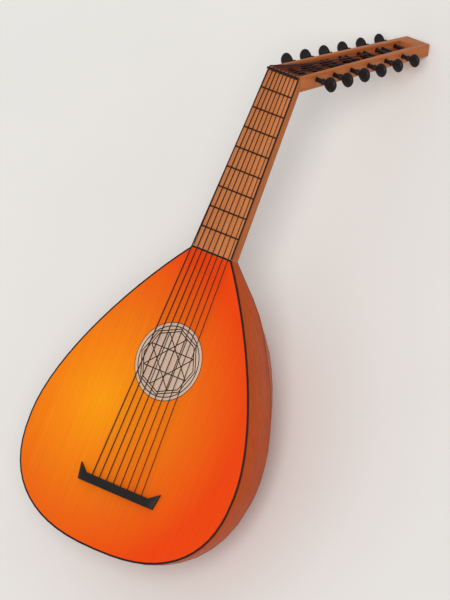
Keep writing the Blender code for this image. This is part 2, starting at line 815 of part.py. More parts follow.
def peg_stations():
    """Each peg's name, side and distance from the nut."""
    last_bass = PEGBOX_LENGTH - END_BLOCK_LENGTH - LAST_PEG_TO_BLOCK
    pitch = (last_bass - PEG_STAGGER - FIRST_PEG) / (PEGS_A_SIDE - 1)
    stations = []
    for number in range(PEGS_A_SIDE):
        t = FIRST_PEG + pitch * number
        stations.append((f"peg_treble_{number + 1}", 1, t))
        stations.append((f"peg_bass_{number + 1}", -1, t + PEG_STAGGER))
    return stations


def peg_depth(t):
    """How far below the open side a peg's axis lies: midway between it and the floor."""
    return (pegbox_height(t) - PEGBOX_FLOOR) / 2


def peg_tip(t):
    """How far from the outer face of its own cheek a peg ends, inside the other cheek."""
    return 2 * outer_half(t) - PEG_BLIND_END - PEG_HOLE_CLEARANCE


def peg_radius(t, inward):
    """A peg's radius at a distance inward from the outer face of its own cheek."""
    return mix(PEG_FACE_RADIUS, PEG_TIP_RADIUS, inward / peg_tip(t))


def peg_shape(t):
    """A tapered shaft along x with a flat oval head, from its origin on the cheek's outer face."""
    size = mix(1.0, PEG_SMALLEST, (t - FIRST_PEG) / (PEGBOX_LENGTH - END_BLOCK_LENGTH - FIRST_PEG))
    head = PEG_REACH * size
    half_length = PEG_HEAD_LENGTH / 2 * size
    sections = [(-peg_tip(t), PEG_TIP_RADIUS, PEG_TIP_RADIUS), (0.0, PEG_FACE_RADIUS, PEG_FACE_RADIUS)]
    neck = PEG_NECK_RADIUS * size
    start = head - half_length
    sections.append((start * 0.6, mix(PEG_FACE_RADIUS, neck, 0.5), mix(PEG_FACE_RADIUS, neck, 0.5)))
    for share in (-0.92, -0.7, -0.3, 0.1, 0.5, 0.8, 0.96):
        tall = PEG_HEAD_HEIGHT / 2 * size * math.sqrt(1 - share * share)
        thick = PEG_HEAD_THICKNESS / 2 * size * (1 - max(share, 0) ** 4) ** 0.5
        sections.append((head + half_length * share, thick, tall))
    rings = []
    for x, along, tall in sections:
        rings.append([(x, y * along, z * tall) for y, z in polygon(1.0, PEG_SIDES)])
    return loft(rings)


def peg_hole(side, t):
    """The tapered hole that a peg turns in: through its own cheek and into the other."""
    tip = peg_tip(t) + PEG_HOLE_CLEARANCE
    rings = []
    for inward in (-CUTTER_REACH, tip):
        radius = (peg_radius(t, inward) + PEG_HOLE_CLEARANCE) / math.cos(math.pi / PEG_SIDES)
        x = side * (outer_half(t) - inward)
        rings.append([(x, y, z) for y, z in polygon(radius, PEG_SIDES, (t, -peg_depth(t)))])
    return loft(rings)


def build_pegbox(pegbox):
    """The two cheeks, the heel, the floor and the end block, then the pegs."""
    holes = cutter("peg_hole_cutter", [peg_hole(side, t) for _, side, t in peg_stations()], pegbox)
    for name, side in (("bass", -1), ("treble", 1)):
        piece = solid(f"pegbox_cheek_{name}", [cheek(side)], pegbox, "pegbox_wood")
        round_edges(piece, EDGE_ROUNDING)
        cut(piece, holes)
    near_back = to_pegbox(*heel_corner())
    near = ((splice_t(HEEL_TOP_FRONT), HEEL_TOP_FRONT), (near_back[0] + GAP, near_back[1]))
    far = ((HEEL_LENGTH, HEEL_TOP_BACK), (HEEL_LENGTH, pegbox_height(HEEL_LENGTH)))
    solid("pegbox_heel", [between_cheeks(near, far)], pegbox, "pegbox_wood")

    start = HEEL_LENGTH + GAP
    end = PEGBOX_LENGTH - END_BLOCK_LENGTH - GAP
    ends = [((t, pegbox_height(t) - PEGBOX_FLOOR), (t, pegbox_height(t))) for t in (start, end)]
    solid("pegbox_floor", [between_cheeks(*ends)], pegbox, "pegbox_wood")
    block = PEGBOX_LENGTH - END_BLOCK_LENGTH
    ends = [((t, 0.0), (t, pegbox_height(t))) for t in (block, PEGBOX_LENGTH)]
    end_block = solid("pegbox_end_block", [between_cheeks(*ends)], pegbox, "pegbox_wood")
    round_edges(end_block, EDGE_ROUNDING)

    for name, side, t in peg_stations():
        peg = solid(name, [peg_shape(t)], pegbox, "peg_wood", smooth_angle=50)
        peg.location = (side * outer_half(t), t, -peg_depth(t))
        peg.rotation_euler.z = 0 if side > 0 else math.pi


# Strings

def string_x(number, span):
    """Where a string lies across a span, number 0 at the bass edge."""
    return span * (number / (STRING_COUNT - 1) - 0.5)


def string_radius(number):
    """Half a string's thickness: the bass string is the thickest."""
    return mix(STRING_THICK, STRING_THIN, number / (STRING_COUNT - 1)) / 2


def string_peg(number):
    """The side and station of the peg that winds a string: outer strings take the nearest pegs."""
    half = STRING_COUNT // 2
    stations = peg_stations()
    if number < half:
        return [(side, t) for _, side, t in stations if side < 0][number]
    return [(side, t) for _, side, t in stations if side > 0][STRING_COUNT - 1 - number]


def coil_pitch(number):
    """How far along its peg a string moves in one turn."""
    return 2 * string_radius(number) + COIL_GAP


def lane_share():
    """How much nearer the middle the strings lie on their pegs than in the nut."""
    first_bass = FIRST_PEG + PEG_STAGGER
    coil = COIL_TURNS * coil_pitch(0) + string_radius(0)
    return (recess_half(first_bass) - coil - LANE_CLEARANCE) / (STRING_SPAN_NUT / 2)


def bend_points(before, corner, after, radius, count=4):
    """Points that round a corner between two straight stretches."""
    first = corner + (before - corner).normalized() * radius
    last = corner + (after - corner).normalized() * radius
    points = []
    for share in spaced(0.0, 1.0, count):
        points.append(first.lerp(corner, share).lerp(corner.lerp(last, share), share))
    return points


def string_points(number, pegbox_matrix):
    """A string's route: out of the bridge, over the nut, down to its peg and round it."""
    radius = string_radius(number)
    front = -(SCALE_LENGTH - NECK_LENGTH)
    bridge_x = string_x(number, STRING_SPAN_BRIDGE)
    nut_x = string_x(number, STRING_SPAN_NUT)
    nut_z = NUT_HEIGHT - NUT_NOTCH_DEPTH + GAP + radius
    start = Vector((bridge_x, front - BRIDGE_BAR * 0.8, STRING_BRIDGE_HEIGHT))
    at_bridge = Vector((bridge_x, front, STRING_BRIDGE_HEIGHT))
    at_nut = Vector((nut_x, NECK_LENGTH - NUT_THICKNESS, nut_z))
    corner = Vector((nut_x, NECK_LENGTH + NUT_OVERRUN, nut_z))

    side, t = string_peg(number)
    lane = nut_x * lane_share()
    outward = 1 if lane > 0 else -1
    inward = outer_half(t) - side * lane
    wind = peg_radius(t, inward) + PEG_HOLE_CLEARANCE + radius
    depth = peg_depth(t)
    corner_t, corner_h = to_pegbox(corner.y, corner.z)
    to_axis = math.atan2(depth - corner_h, t - corner_t)
    reach = math.hypot(depth - corner_h, t - corner_t)
    first_angle = to_axis - math.asin(wind / reach)
    coil = []
    for step in range(COIL_TURNS * COIL_POINTS + 1):
        turn = step / COIL_POINTS
        angle = first_angle + 2 * math.pi * turn
        x = lane + outward * coil_pitch(number) * turn
        local = Vector((x, t + wind * math.sin(angle), -(depth - wind * math.cos(angle))))
        coil.append(pegbox_matrix @ local)
    return [start, at_bridge, at_nut] + bend_points(at_nut, corner, coil[0], BEND_RADIUS) + coil


def least_gap(points, radius):
    """The smallest space that a coil leaves to itself, measured between points a half turn or more apart."""
    coil = points[-(COIL_TURNS * COIL_POINTS + 1) :]
    least = math.inf
    for i, first in enumerate(coil):
        for second in coil[i + COIL_POINTS // 2 :]:
            least = min(least, (first - second).length - 2 * radius)
    return least


def build_strings(lute, pegbox_matrix):
    """Eight strings, each one unbroken tube from the bridge to the end of its coil on the peg."""
    for number in range(STRING_COUNT):
        points = string_points(number, pegbox_matrix)
        curve = bpy.data.curves.new(f"string_{number + 1}", "CURVE")
        curve.dimensions = "3D"
        curve.bevel_depth = string_radius(number)
        curve.bevel_resolution = 1
        curve.use_fill_caps = True
        spline = curve.splines.new("POLY")
        spline.points.add(len(points) - 1)
        for place, point in zip(spline.points, points):
            place.co = (*point, 1.0)
        add_object(f"string_{number + 1}", curve, lute, "gut_dark")
        gap = least_gap(points, string_radius(number))
        print(f"string_{number + 1}: least gap between its turns {gap * 1000:.2f} mm")


# Laying the lute down

def corners_of(prefixes):
    """The corner points, as y and z in world space, of the finished pieces with these name starts."""
    graph = bpy.context.evaluated_depsgraph_get()
    found = []
    for piece in bpy.context.scene.objects:
        if piece.type not in ("MESH", "CURVE") or piece.hide_render:
            continue
        if not piece.name.startswith(prefixes):
            continue
        evaluated = piece.evaluated_get(graph)
        mesh = evaluated.to_mesh()
        matrix = evaluated.matrix_world
        found += [tuple(matrix @ vertex.co)[1:] for vertex in mesh.vertices]
        evaluated.to_mesh_clear()
    return np.array(found)


def turned(points, angle):
    """Points in y and z after a turn about x."""
    sine = math.sin(angle)
    cosine = math.cos(angle)
    return np.stack([points[:, 0] * cosine - points[:, 1] * sine, points[:, 0] * sine + points[:, 1] * cosine])


def lay_on_back(lute):
    """Turns the lute until bowl and pegbox touch the same level, and puts that level at z = 0."""
    bpy.context.view_layer.update()
    bowl = corners_of(("bowl_rib",))
    pegbox = corners_of(("pegbox", "peg_"))
    low, high = math.radians(-30), math.radians(40)
    for _ in range(60):
        middle = (low + high) / 2
        if turned(bowl, middle)[1].min() > turned(pegbox, middle)[1].min():
            low = middle
        else:
            high = middle
    angle = (low + high) / 2
    y, z = turned(corners_of(("",)), angle)
    shift = Vector((0.0, -(y.min() + y.max()) / 2, -z.min()))
    lute.matrix_world = Matrix.Translation(shift) @ Matrix.Rotation(angle, 4, "X")
    bpy.context.view_layer.update()


def main():
    """Builds the lute and lays it on its back."""
    for piece in list(bpy.data.objects):
        bpy.data.objects.remove(piece, do_unlink=True)
    lute = empty("lute")
    turn = Matrix.Translation((0, NECK_LENGTH, 0)) @ Matrix.Rotation(-PEGBOX_BEND, 4, "X")
    pegbox = empty("pegbox", lute, turn)
    build_bowl(lute)
    build_soundboard(lute)
    build_neck(lute)
    build_pegbox(pegbox)
    build_strings(lute, turn)
    lay_on_back(lute)


main()
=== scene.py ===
import logging
import math
from collections.abc import Callable, Sequence
from dataclasses import dataclass, field
from enum import Enum
from typing import Any

import bmesh
import bpy
from mathutils import Matrix, Vector
from mathutils.kdtree import KDTree


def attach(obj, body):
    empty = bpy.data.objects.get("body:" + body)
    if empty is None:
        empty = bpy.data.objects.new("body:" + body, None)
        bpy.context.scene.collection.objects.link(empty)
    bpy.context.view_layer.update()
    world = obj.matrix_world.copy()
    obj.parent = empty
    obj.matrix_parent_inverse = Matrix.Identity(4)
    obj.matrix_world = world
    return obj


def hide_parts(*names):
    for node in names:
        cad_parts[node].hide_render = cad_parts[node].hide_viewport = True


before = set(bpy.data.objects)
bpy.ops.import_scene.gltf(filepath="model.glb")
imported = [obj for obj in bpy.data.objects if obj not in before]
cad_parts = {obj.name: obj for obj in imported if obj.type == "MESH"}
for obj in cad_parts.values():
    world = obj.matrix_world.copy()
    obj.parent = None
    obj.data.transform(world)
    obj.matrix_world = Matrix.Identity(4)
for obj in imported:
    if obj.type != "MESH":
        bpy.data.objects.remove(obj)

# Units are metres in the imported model's frame. The lute's own frame has its origin on top of the
# soundboard at the neck joint, with +Y up the neck, +X to the treble side and +Z out of the board.

LOG = logging.getLogger("lute")
BODY = "lute_body"
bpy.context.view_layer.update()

LUTE_TILT = math.radians(10.184)
PEGBOX_BEND = math.radians(67.15)
NECK_LENGTH = 0.250
LUTE_ORIGIN = (0.0, 0.00352, 0.200249)
LUTE = Matrix.Translation(LUTE_ORIGIN) @ Matrix.Rotation(LUTE_TILT, 4, "X")
NUT_END = Matrix.Translation((0.0, NECK_LENGTH, 0.0))
PEGBOX = LUTE @ NUT_END @ Matrix.Rotation(-PEGBOX_BEND, 4, "X")
GAP = 0.0003

Colour = tuple[int, int, int]
Node = bpy.types.Node
Socket = bpy.types.NodeSocket

GRAIN_DRIFT_SCALE = 0.21
STREAK_RANGE = (0.32, 0.68)
FIBRE_SCALE = 7.0
FIBRE_RANGE = (0.35, 0.65)
STREAK_HEIGHT = 0.6
FIBRE_CONTRAST = 0.35
PATCH_SCALE = 22.0
PATCH_RANGE = (0.52, 0.66)
SPECK_SCALE = 620.0
SPECK_RANGE = (0.50, 0.62)
HANDLING_SCALE = 9.0
HANDLING_RANGE = (0.35, 0.65)
HANDLING_ROUGHNESS = 0.07
SCUFF_GAIN = 1.5
SCUFF_LIFT = 0.02
SCUFF_TINT = 0.5
SCUFF_ROUGHNESS = 0.3
BUMP_STRENGTH = 0.6
STAR_POINTS = 8
TURNED_SHARP = 40.0


def mix(a: float, b: float, share: float) -> float:
    """Blends two numbers.

    Args:
        a: The value at share 0.
        b: The value at share 1.
        share: How far to go from a to b.

    Returns:
        The blended value.
    """
    return a + (b - a) * share


def linear(colour: Colour) -> tuple[float, float, float, float]:
    """Turns a 0 to 255 sRGB colour into Blender's linear RGBA.

    Args:
        colour: Red, green and blue.

    Returns:
        The linear colour with full alpha.
    """
    shares = [c / 255 for c in colour]
    red, green, blue = (
        s / 12.92 if s <= 0.04045 else ((s + 0.055) / 1.055) ** 2.4 for s in shares
    )
    return (red, green, blue, 1.0)


def link_object(name: str, data: Any) -> bpy.types.Object:
    """Adds an object to the scene.

    Args:
        name: Its name.
        data: Its mesh, lamp or camera.

    Returns:
        The object.
    """
    holder = bpy.data.objects.new(name, data)
    bpy.context.scene.collection.objects.link(holder)
    return holder


def board_point(spot: tuple[float, float]) -> Vector:
    """A spot of the soundboard in the coordinates of a finish that is laid along the neck.

    Args:
        spot: Its x and y in the lute's frame.

    Returns:
        The point.
    """
    return Matrix.Rotation(-LUTE_TILT, 4, "X") @ LUTE @ Vector((*spot, 0.0))


class Lay(Enum):
    """Which way a piece's grain runs, as the turn that lays it along Y."""

    NECK = (-LUTE_TILT, 0.0, 0.0)
    PEGBOX = (PEGBOX_BEND - LUTE_TILT, 0.0, 0.0)
    ACROSS = (-LUTE_TILT, 0.0, math.pi / 2)


class Web:
    """A node tree that is written one node at a time."""

    def __init__(self, tree: bpy.types.NodeTree) -> None:
        """Takes the tree that the nodes go into.

        Args:
            tree: A shader or geometry node tree.
        """
        self.tree = tree

    def fill(self, node: Node, values: dict[str | int, Any]) -> None:
        """Fills a node's inputs.

        Args:
            node: The node.
            values: For each input, by name or index, a constant or the socket to link from.
        """
        for key, value in values.items():
            if isinstance(value, Socket):
                self.tree.links.new(value, node.inputs[key])
            else:
                node.inputs[key].default_value = value

    def add(self, kind: str, values: dict[str | int, Any] | None = None, **settings: Any) -> Node:
        """Adds a node and fills its inputs.

        Args:
            kind: The node's type.
            values: For each input, by name or index, a constant or the socket to link from.
            **settings: The node's own options.

        Returns:
            The new node.
        """
        node = self.tree.nodes.new(kind)
        for option, value in settings.items():
            setattr(node, option, value)
        self.fill(node, values or {})
        return node

    def math(self, operation: str, *values: Any) -> Socket:
        """Adds a Math node.

        Args:
            operation: What it works out.
            *values: Its inputs in order.

        Returns:
            Its result.
        """
        return self.add("ShaderNodeMath", dict(enumerate(values)), operation=operation).outputs[0]

    def vector(self, operation: str, *values: Any) -> Socket:
        """Adds a Vector Math node.

        Args:
            operation: What it works out.
            *values: Its inputs in order.

        Returns:
            Its result, a number where the operation gives one.
        """
        node = self.add("ShaderNodeVectorMath", dict(enumerate(values)), operation=operation)
        return node.outputs[1 if operation in ("DISTANCE", "DOT_PRODUCT", "LENGTH") else 0]

    def blend(self, factor: Any, first: Any, second: Any) -> Socket:
        """Adds a colour Mix node.

        Args:
            factor: How much of the second colour.
            first: The first colour.
            second: The second colour.

        Returns:
            The mixed colour.
        """
        values = {0: factor, 6: first, 7: second}
        return self.add("ShaderNodeMix", values, data_type="RGBA").outputs[2]

    def span(
        self, value: Any, limits: tuple[float, float], results: tuple[float, float] = (0.0, 1.0)
    ) -> Socket:
        """Adds a clamped Map Range node.

        Args:
            value: The value to map.
            limits: Lowest and highest value in.
            results: What those two become.

        Returns:
            The mapped value.
        """
        values = dict(enumerate((value, *limits, *results)))
        return self.add("ShaderNodeMapRange", values).outputs[0]

    def noise(self, place: Any, scale: float, detail: float = 2.0) -> Socket:
        """Adds a Noise Texture.

        Args:
            place: The coordinates.
            scale: Its scale.
            detail: Its detail.

        Returns:
            The noise value.
        """
        values = {"Vector": place, "Scale": scale, "Detail": detail}
        return self.add("ShaderNodeTexNoise", values).outputs[0]


def shader_group(
    name: str, inputs: Sequence[tuple[str, str, Any]], outputs: Sequence[str],
    fill: Callable[[Web, Node, Node], None],
) -> bpy.types.NodeTree:
    """Builds a shader node group once.

    Args:
        name: The group's name.
        inputs: Name, socket type and default of each input.
        outputs: Names of its float outputs.
        fill: Writes the nodes between the group's input and output nodes.

    Returns:
        The group.
    """
    if name in bpy.data.node_groups:
        return bpy.data.node_groups[name]
    tree = bpy.data.node_groups.new(name, "ShaderNodeTree")
    for label, kind, default in inputs:
        socket = tree.interface.new_socket(name=label, in_out="INPUT", socket_type=kind)
        if default is not None:
            socket.default_value = default
    for label in outputs:
        tree.interface.new_socket(name=label, in_out="OUTPUT", socket_type="NodeSocketFloat")
    web = Web(tree)
    fill(web, web.add("NodeGroupInput"), web.add("NodeGroupOutput"))
    return tree


def fill_grain(web: Web, entry: Node, exit_node: Node) -> None:
    """Streaks and fibres that run along Y.

    Args:
        web: The group's nodes.
        entry: Its input node.
        exit_node: Its output node.
    """
    across = entry.outputs["Pitch"]
    along = web.math("DIVIDE", across, entry.outputs["Stretch"])
    scale = web.add("ShaderNodeCombineXYZ", {0: across, 1: along, 2: across}).outputs[0]
    place = web.vector("MULTIPLY", entry.outputs["Vector"], scale)
    sway = web.math("SUBTRACT", web.noise(place, GRAIN_DRIFT_SCALE, 1.0), 0.5)
    drift = web.math("MULTIPLY", sway, entry.outputs["Wander"])
    shift = web.add("ShaderNodeCombineXYZ", {0: drift, 1: 0.0, 2: drift}).outputs[0]
    bent = web.vector("ADD", place, shift)
    streaks = web.span(web.noise(bent, 1.0, 3.0), STREAK_RANGE)
    fibres = web.span(web.noise(bent, FIBRE_SCALE), FIBRE_RANGE)
    rise = web.math("MULTIPLY", streaks, STREAK_HEIGHT)
    height = web.math("ADD", rise, web.math("MULTIPLY", fibres, 1 - STREAK_HEIGHT))
    web.fill(exit_node, {"Streaks": streaks, "Fibres": fibres, "Height": height})


def fill_wear(web: Web, entry: Node, exit_node: Node) -> None:
    """Small scuffs and broad handling marks.

    Args:
        web: The group's nodes.
        entry: Its input node.
        exit_node: Its output node.
    """
    place = entry.outputs["Vector"]
    patches = web.span(web.noise(place, PATCH_SCALE, 3.0), PATCH_RANGE)
    specks = web.span(web.noise(place, SPECK_SCALE), SPECK_RANGE)
    scuffs = web.math("MULTIPLY", web.math("MULTIPLY", patches, specks), entry.outputs["Amount"])
    handling = web.span(web.noise(place, HANDLING_SCALE), HANDLING_RANGE)
    web.fill(exit_node, {"Scuffs": scuffs, "Handling": handling})


GRAIN_SOCKETS = (
    ("Vector", "NodeSocketVector", None),
    ("Pitch", "NodeSocketFloat", 300.0),
    ("Stretch", "NodeSocketFloat", 25.0),
    ("Wander", "NodeSocketFloat", 1.5),
)
WEAR_SOCKETS = (("Vector", "NodeSocketVector", None), ("Amount", "NodeSocketFloat", 0.5))


@dataclass(frozen=True)
class Wood:
    """An oiled or varnished wood with streaks along its grain."""

    name: str
    slot: str
    colour: Colour
    dark: Colour
    lay: Lay = Lay.NECK
    pitch: float = 260.0
    stretch: float = 28.0
    wander: float = 2.0
    contrast: float = 0.5
    roughness: float = 0.40
    gloss: float = 0.22
    scuffs: float = 0.35
    bump: float = 0.00006

    def base(self, web: Web, place: Socket) -> Any:
        """The colour under the grain.

        Args:
            web: The material's nodes.
            place: Object coordinates with the grain along Y.

        Returns:
            A constant colour, or a socket where it changes over the surface.
        """
        return linear(self.colour)

    def over(self, web: Web, place: Socket, colour: Socket) -> Socket:
        """What lies over the grain: nothing on plain wood.

        Args:
            web: The material's nodes.
            place: Object coordinates with the grain along Y.
            colour: The grained colour.

        Returns:
            The final colour.
        """
        return colour

    def material(self) -> bpy.types.Material:
        """The finish as a Blender material, made when it is first asked for.

        Returns:
            The material.
        """
        if self.name in bpy.data.materials:
            return bpy.data.materials[self.name]
        material = bpy.data.materials.new(self.name)
        material.use_nodes = True
        web = Web(material.node_tree)
        shader = material.node_tree.nodes["Principled BSDF"]
        source = web.add("ShaderNodeTexCoord").outputs["Object"]
        mapping = web.add("ShaderNodeMapping", {"Vector": source, "Rotation": self.lay.value})
        place = mapping.outputs[0]
        run = {"Pitch": self.pitch, "Stretch": self.stretch, "Wander": self.wander}
        grain = web.add("ShaderNodeGroup", {"Vector": place, **run}, node_tree=shader_group(
            "wood_grain", GRAIN_SOCKETS, ("Streaks", "Fibres", "Height"), fill_grain)).outputs
        marks = {"Vector": place, "Amount": self.scuffs}
        wear = web.add("ShaderNodeGroup", marks, node_tree=shader_group(
            "handling_wear", WEAR_SOCKETS, ("Scuffs", "Handling"), fill_wear)).outputs

        amount = web.math("MULTIPLY", grain["Streaks"], self.contrast)
        colour = web.blend(amount, self.base(web, place), linear(self.dark))
        fine = web.math("MULTIPLY", grain["Fibres"], self.contrast * FIBRE_CONTRAST)
        colour = web.blend(fine, colour, linear(self.dark))
        bare = linear(self.colour)[:3]
        light = (*(min(1.0, c * SCUFF_GAIN + SCUFF_LIFT) for c in bare), 1.0)
        colour = web.blend(web.math("MULTIPLY", wear["Scuffs"], SCUFF_TINT), colour, light)
        ends = (self.roughness, self.roughness + SCUFF_ROUGHNESS)
        dull = web.math("MULTIPLY", wear["Handling"], HANDLING_ROUGHNESS)
        bump = web.add("ShaderNodeBump", {
            "Strength": BUMP_STRENGTH, "Distance": self.bump, "Height": grain["Height"]})
        web.fill(shader, {
            "Base Color": self.over(web, place, colour),
            "Roughness": web.math("ADD", web.span(wear["Scuffs"], (0.0, 1.0), ends), dull),
            "Normal": bump.outputs[0],
            "Specular IOR Level": self.gloss,
        })
        return material


@dataclass(frozen=True)
class PaintedLightVarnish(Wood):
    """Orange varnish with painted light and shade: golden orange round a lit spot of the board,
    falling to darker red orange at its edges.
    """

    # spot is the middle of a painted pool of light on the bass side; the stops fall from it to
    # painted shade at the edges.
    spot: tuple[float, float] = (-0.076, -0.231)
    reach: float = 0.228
    stops: tuple[tuple[float, Colour], ...] = (
        (0.0, (254, 160, 0)),
        (0.31, (248, 135, 3)),
        (0.61, (239, 108, 5)),
        (0.97, (238, 68, 0)),
    )

    def base(self, web: Web, place: Socket) -> Any:
        """The varnish colour with its painted light and shade, by its distance from the lit spot.

        Args:
            web: The material's nodes.
            place: Object coordinates with the grain along Y.

        Returns:
            The varnish colour.
        """
        away = web.vector("DISTANCE", place, board_point(self.spot))
        ramp = web.add("ShaderNodeValToRGB", {0: web.math("DIVIDE", away, self.reach)})
        band = ramp.color_ramp
        for number, (stop, colour) in enumerate(self.stops):
            element = band.elements[number] if number < 2 else band.elements.new(stop)
            element.position = stop
            element.color = linear(colour)
        return ramp.outputs[0]


def fill_rose_lines(web: Web, entry: Node, exit_node: Node) -> None:
    """Masks of the painted shade in the rose's star, octagons and ring, from its middle outwards.

    Args:
        web: The group's nodes.
        entry: Its input node.
        exit_node: Its output node.
    """
    place = entry.outputs["Vector"]
    flat = web.vector("MULTIPLY", place, (1.0, 1.0, 0.0))
    half = web.math("DIVIDE", entry.outputs["Line"], 2.0)
    inner = entry.outputs["Inner Octagon"]
    outer = entry.outputs["Outer Octagon"]
    chord = web.math("MULTIPLY", inner, math.cos(3 * math.pi / STAR_POINTS))
    nearest: Any = 1.0
    apothem: Any = 0.0
    for number in range(STAR_POINTS):
        for turn, is_side in ((0.0, False), (math.pi / STAR_POINTS, True)):
            angle = 2 * math.pi * number / STAR_POINTS + turn
            normal = (math.cos(angle), math.sin(angle), 0.0)
            reach = web.vector("DOT_PRODUCT", flat, normal)
            if is_side:
                apothem = web.math("MAXIMUM", apothem, reach)
            else:
                gap = web.math("ABSOLUTE", web.math("SUBTRACT", reach, chord))
                nearest = web.math("MINIMUM", nearest, gap)
    inside = web.math("LESS_THAN", apothem, inner)
    mask = web.math("MULTIPLY", web.math("LESS_THAN", nearest, half), inside)
    distance = web.vector("LENGTH", flat)
    for value, middle in ((apothem, inner), (apothem, outer), (distance, entry.outputs["Ring"])):
        near = web.math("ABSOLUTE", web.math("SUBTRACT", value, middle))
        mask = web.math("MAXIMUM", mask, web.math("LESS_THAN", near, half))
    # The dark band round the rose's rim is painted shade as well.
    rim = web.math("GREATER_THAN", distance, web.math("SUBTRACT", entry.outputs["Rim"], half))
    web.fill(exit_node, {"Lines": web.math("MAXIMUM", mask, rim)})


@dataclass(frozen=True)
class RoseWood(Wood):
    """Pale wood with a cut and engraved pattern, whose dark lines are painted shade: the dark
    inside of the body seen through the cuts.
    """

    middle: tuple[float, float] = (0.0, -0.1515)
    line: float = 0.00135
    # Colour of the painted shade in the cuts.
    cut_shadow_colour: Colour = (34, 24, 20)
    rings: tuple[tuple[str, float], ...] = (
        ("Inner Octagon", 0.0384),
        ("Outer Octagon", 0.0416),
        ("Ring", 0.0468),
        ("Rim", 0.0518),
    )

    def over(self, web: Web, place: Socket, colour: Socket) -> Socket:
        """Lays the painted shade lines over the wood.

        Args:
            web: The material's nodes.
            place: Object coordinates with the grain along Y.
            colour: The grained colour.

        Returns:
            The final colour.
        """
        moved = web.vector("SUBTRACT", place, board_point(self.middle))
        sockets = [("Vector", "NodeSocketVector", None), ("Line", "NodeSocketFloat", self.line)]
        sockets += [(label, "NodeSocketFloat", size) for label, size in self.rings]
        group = web.add("ShaderNodeGroup", {"Vector": moved}, node_tree=shader_group(
            "rose_shadow_lines", sockets, ("Lines",), fill_rose_lines))
        return web.blend(group.outputs["Lines"], colour, linear(self.cut_shadow_colour))


# The soundboard's colour holds painted light and shade: golden round a lit spot, darker red orange
# towards its edges.
SOUNDBOARD = PaintedLightVarnish(
    "spruce_with_painted_light", "soundboard", (248, 120, 3), (196, 58, 0), pitch=520.0, stretch=90.0,
    wander=0.6, contrast=0.16, roughness=0.42, gloss=0.12, scuffs=0.06, bump=0.00003,
)
RIBS = Wood(
    "rib_varnish", "ribs", (190, 74, 0), (128, 42, 0), pitch=190.0, contrast=0.34, roughness=0.44,
    gloss=0.10, scuffs=0.06,
)
# The rose's dark lines are painted shade, the dark inside seen through its cuts.
ROSE = RoseWood(
    "rose_wood", "rose", (216, 188, 166), (186, 152, 126), pitch=420.0, stretch=40.0, contrast=0.4,
    roughness=0.58, scuffs=0.1,
)
NECK = Wood(
    "neck_wood", "neck", (182, 102, 48), (132, 66, 28), contrast=0.42, gloss=0.14, scuffs=0.15,
)
FINGERBOARD = Wood(
    "fingerboard_wood", "fingerboard", (214, 134, 78), (172, 94, 48), contrast=0.36, roughness=0.46,
    gloss=0.12, scuffs=0.12,
)
CHEEKS = Wood(
    "cheek_wood", "pegbox", (188, 108, 58), (140, 74, 36), lay=Lay.PEGBOX, contrast=0.42,
    gloss=0.14, scuffs=0.15,
)
RECESS = Wood(
    "recess_wood", "pegbox", (222, 134, 68), (186, 104, 48), lay=Lay.PEGBOX, contrast=0.4,
    gloss=0.12, scuffs=0.1,
)
INNER = Wood("bare_wood", "inner_wood", (205, 160, 105), (170, 122, 72), lay=Lay.ACROSS)
BLACK = Wood(
    "black_stained_wood", "dark_wood", (36, 32, 32), (22, 20, 20), lay=Lay.ACROSS, contrast=0.5,
    roughness=0.40, gloss=0.16, scuffs=0.12,
)
BLACK_LONG = Wood(
    "black_edging_wood", "dark_wood", (34, 30, 30), (22, 20, 20), contrast=0.5, roughness=0.40,
    gloss=0.14, scuffs=0.1,
)
PEG_WOOD = Wood(
    "peg_wood", "pegs", (32, 26, 27), (20, 16, 17), lay=Lay.ACROSS, pitch=420.0, contrast=0.5,
    roughness=0.36, gloss=0.20, scuffs=0.12,
)
GUT = Wood(
    "dark_gut", "strings", (68, 6, 3), (38, 2, 2), pitch=1400.0, stretch=3.0, contrast=0.5,
    roughness=0.42, scuffs=0.0, bump=0.00008,
)


def add_piece(
    name: str, mesh: bpy.types.Mesh, finish: Wood, body: str, nodes: Sequence[str] = ()
) -> bpy.types.Object:
    """Links a finished mesh as a piece of the lute.

    Args:
        name: The piece's name.
        mesh: Its mesh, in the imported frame.
        finish: Its finish.
        body: The CAD body it rides on.
        nodes: The CAD nodes it stands for.

    Returns:
        The piece.
    """
    mesh.materials.clear()
    mesh.materials.append(finish.material())
    piece = link_object(name, mesh)
    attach(piece, body)
    if nodes:
        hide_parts(*nodes)
    LOG.info("%s: %d faces", name, len(mesh.polygons))
    return piece


def smooth(mesh: bpy.types.Mesh, degrees: float) -> None:
    """Shades a mesh smooth except at its sharp edges.

    Args:
        mesh: The mesh.
        degrees: The angle past which an edge stays sharp.
    """
    mesh.shade_smooth()
    mesh.set_sharp_from_angle(angle=math.radians(degrees))


def evaluated_mesh(holder: bpy.types.Object) -> bpy.types.Mesh:
    """The plain mesh that an object's modifiers make; the object is removed.

    Args:
        holder: The object with live modifiers.

    Returns:
        The resulting mesh.
    """
    bpy.context.view_layer.update()
    graph = bpy.context.evaluated_depsgraph_get()
    mesh = bpy.data.meshes.new_from_object(holder.evaluated_get(graph))
    holder.modifiers.clear()
    bpy.data.objects.remove(holder, do_unlink=True)
    return mesh


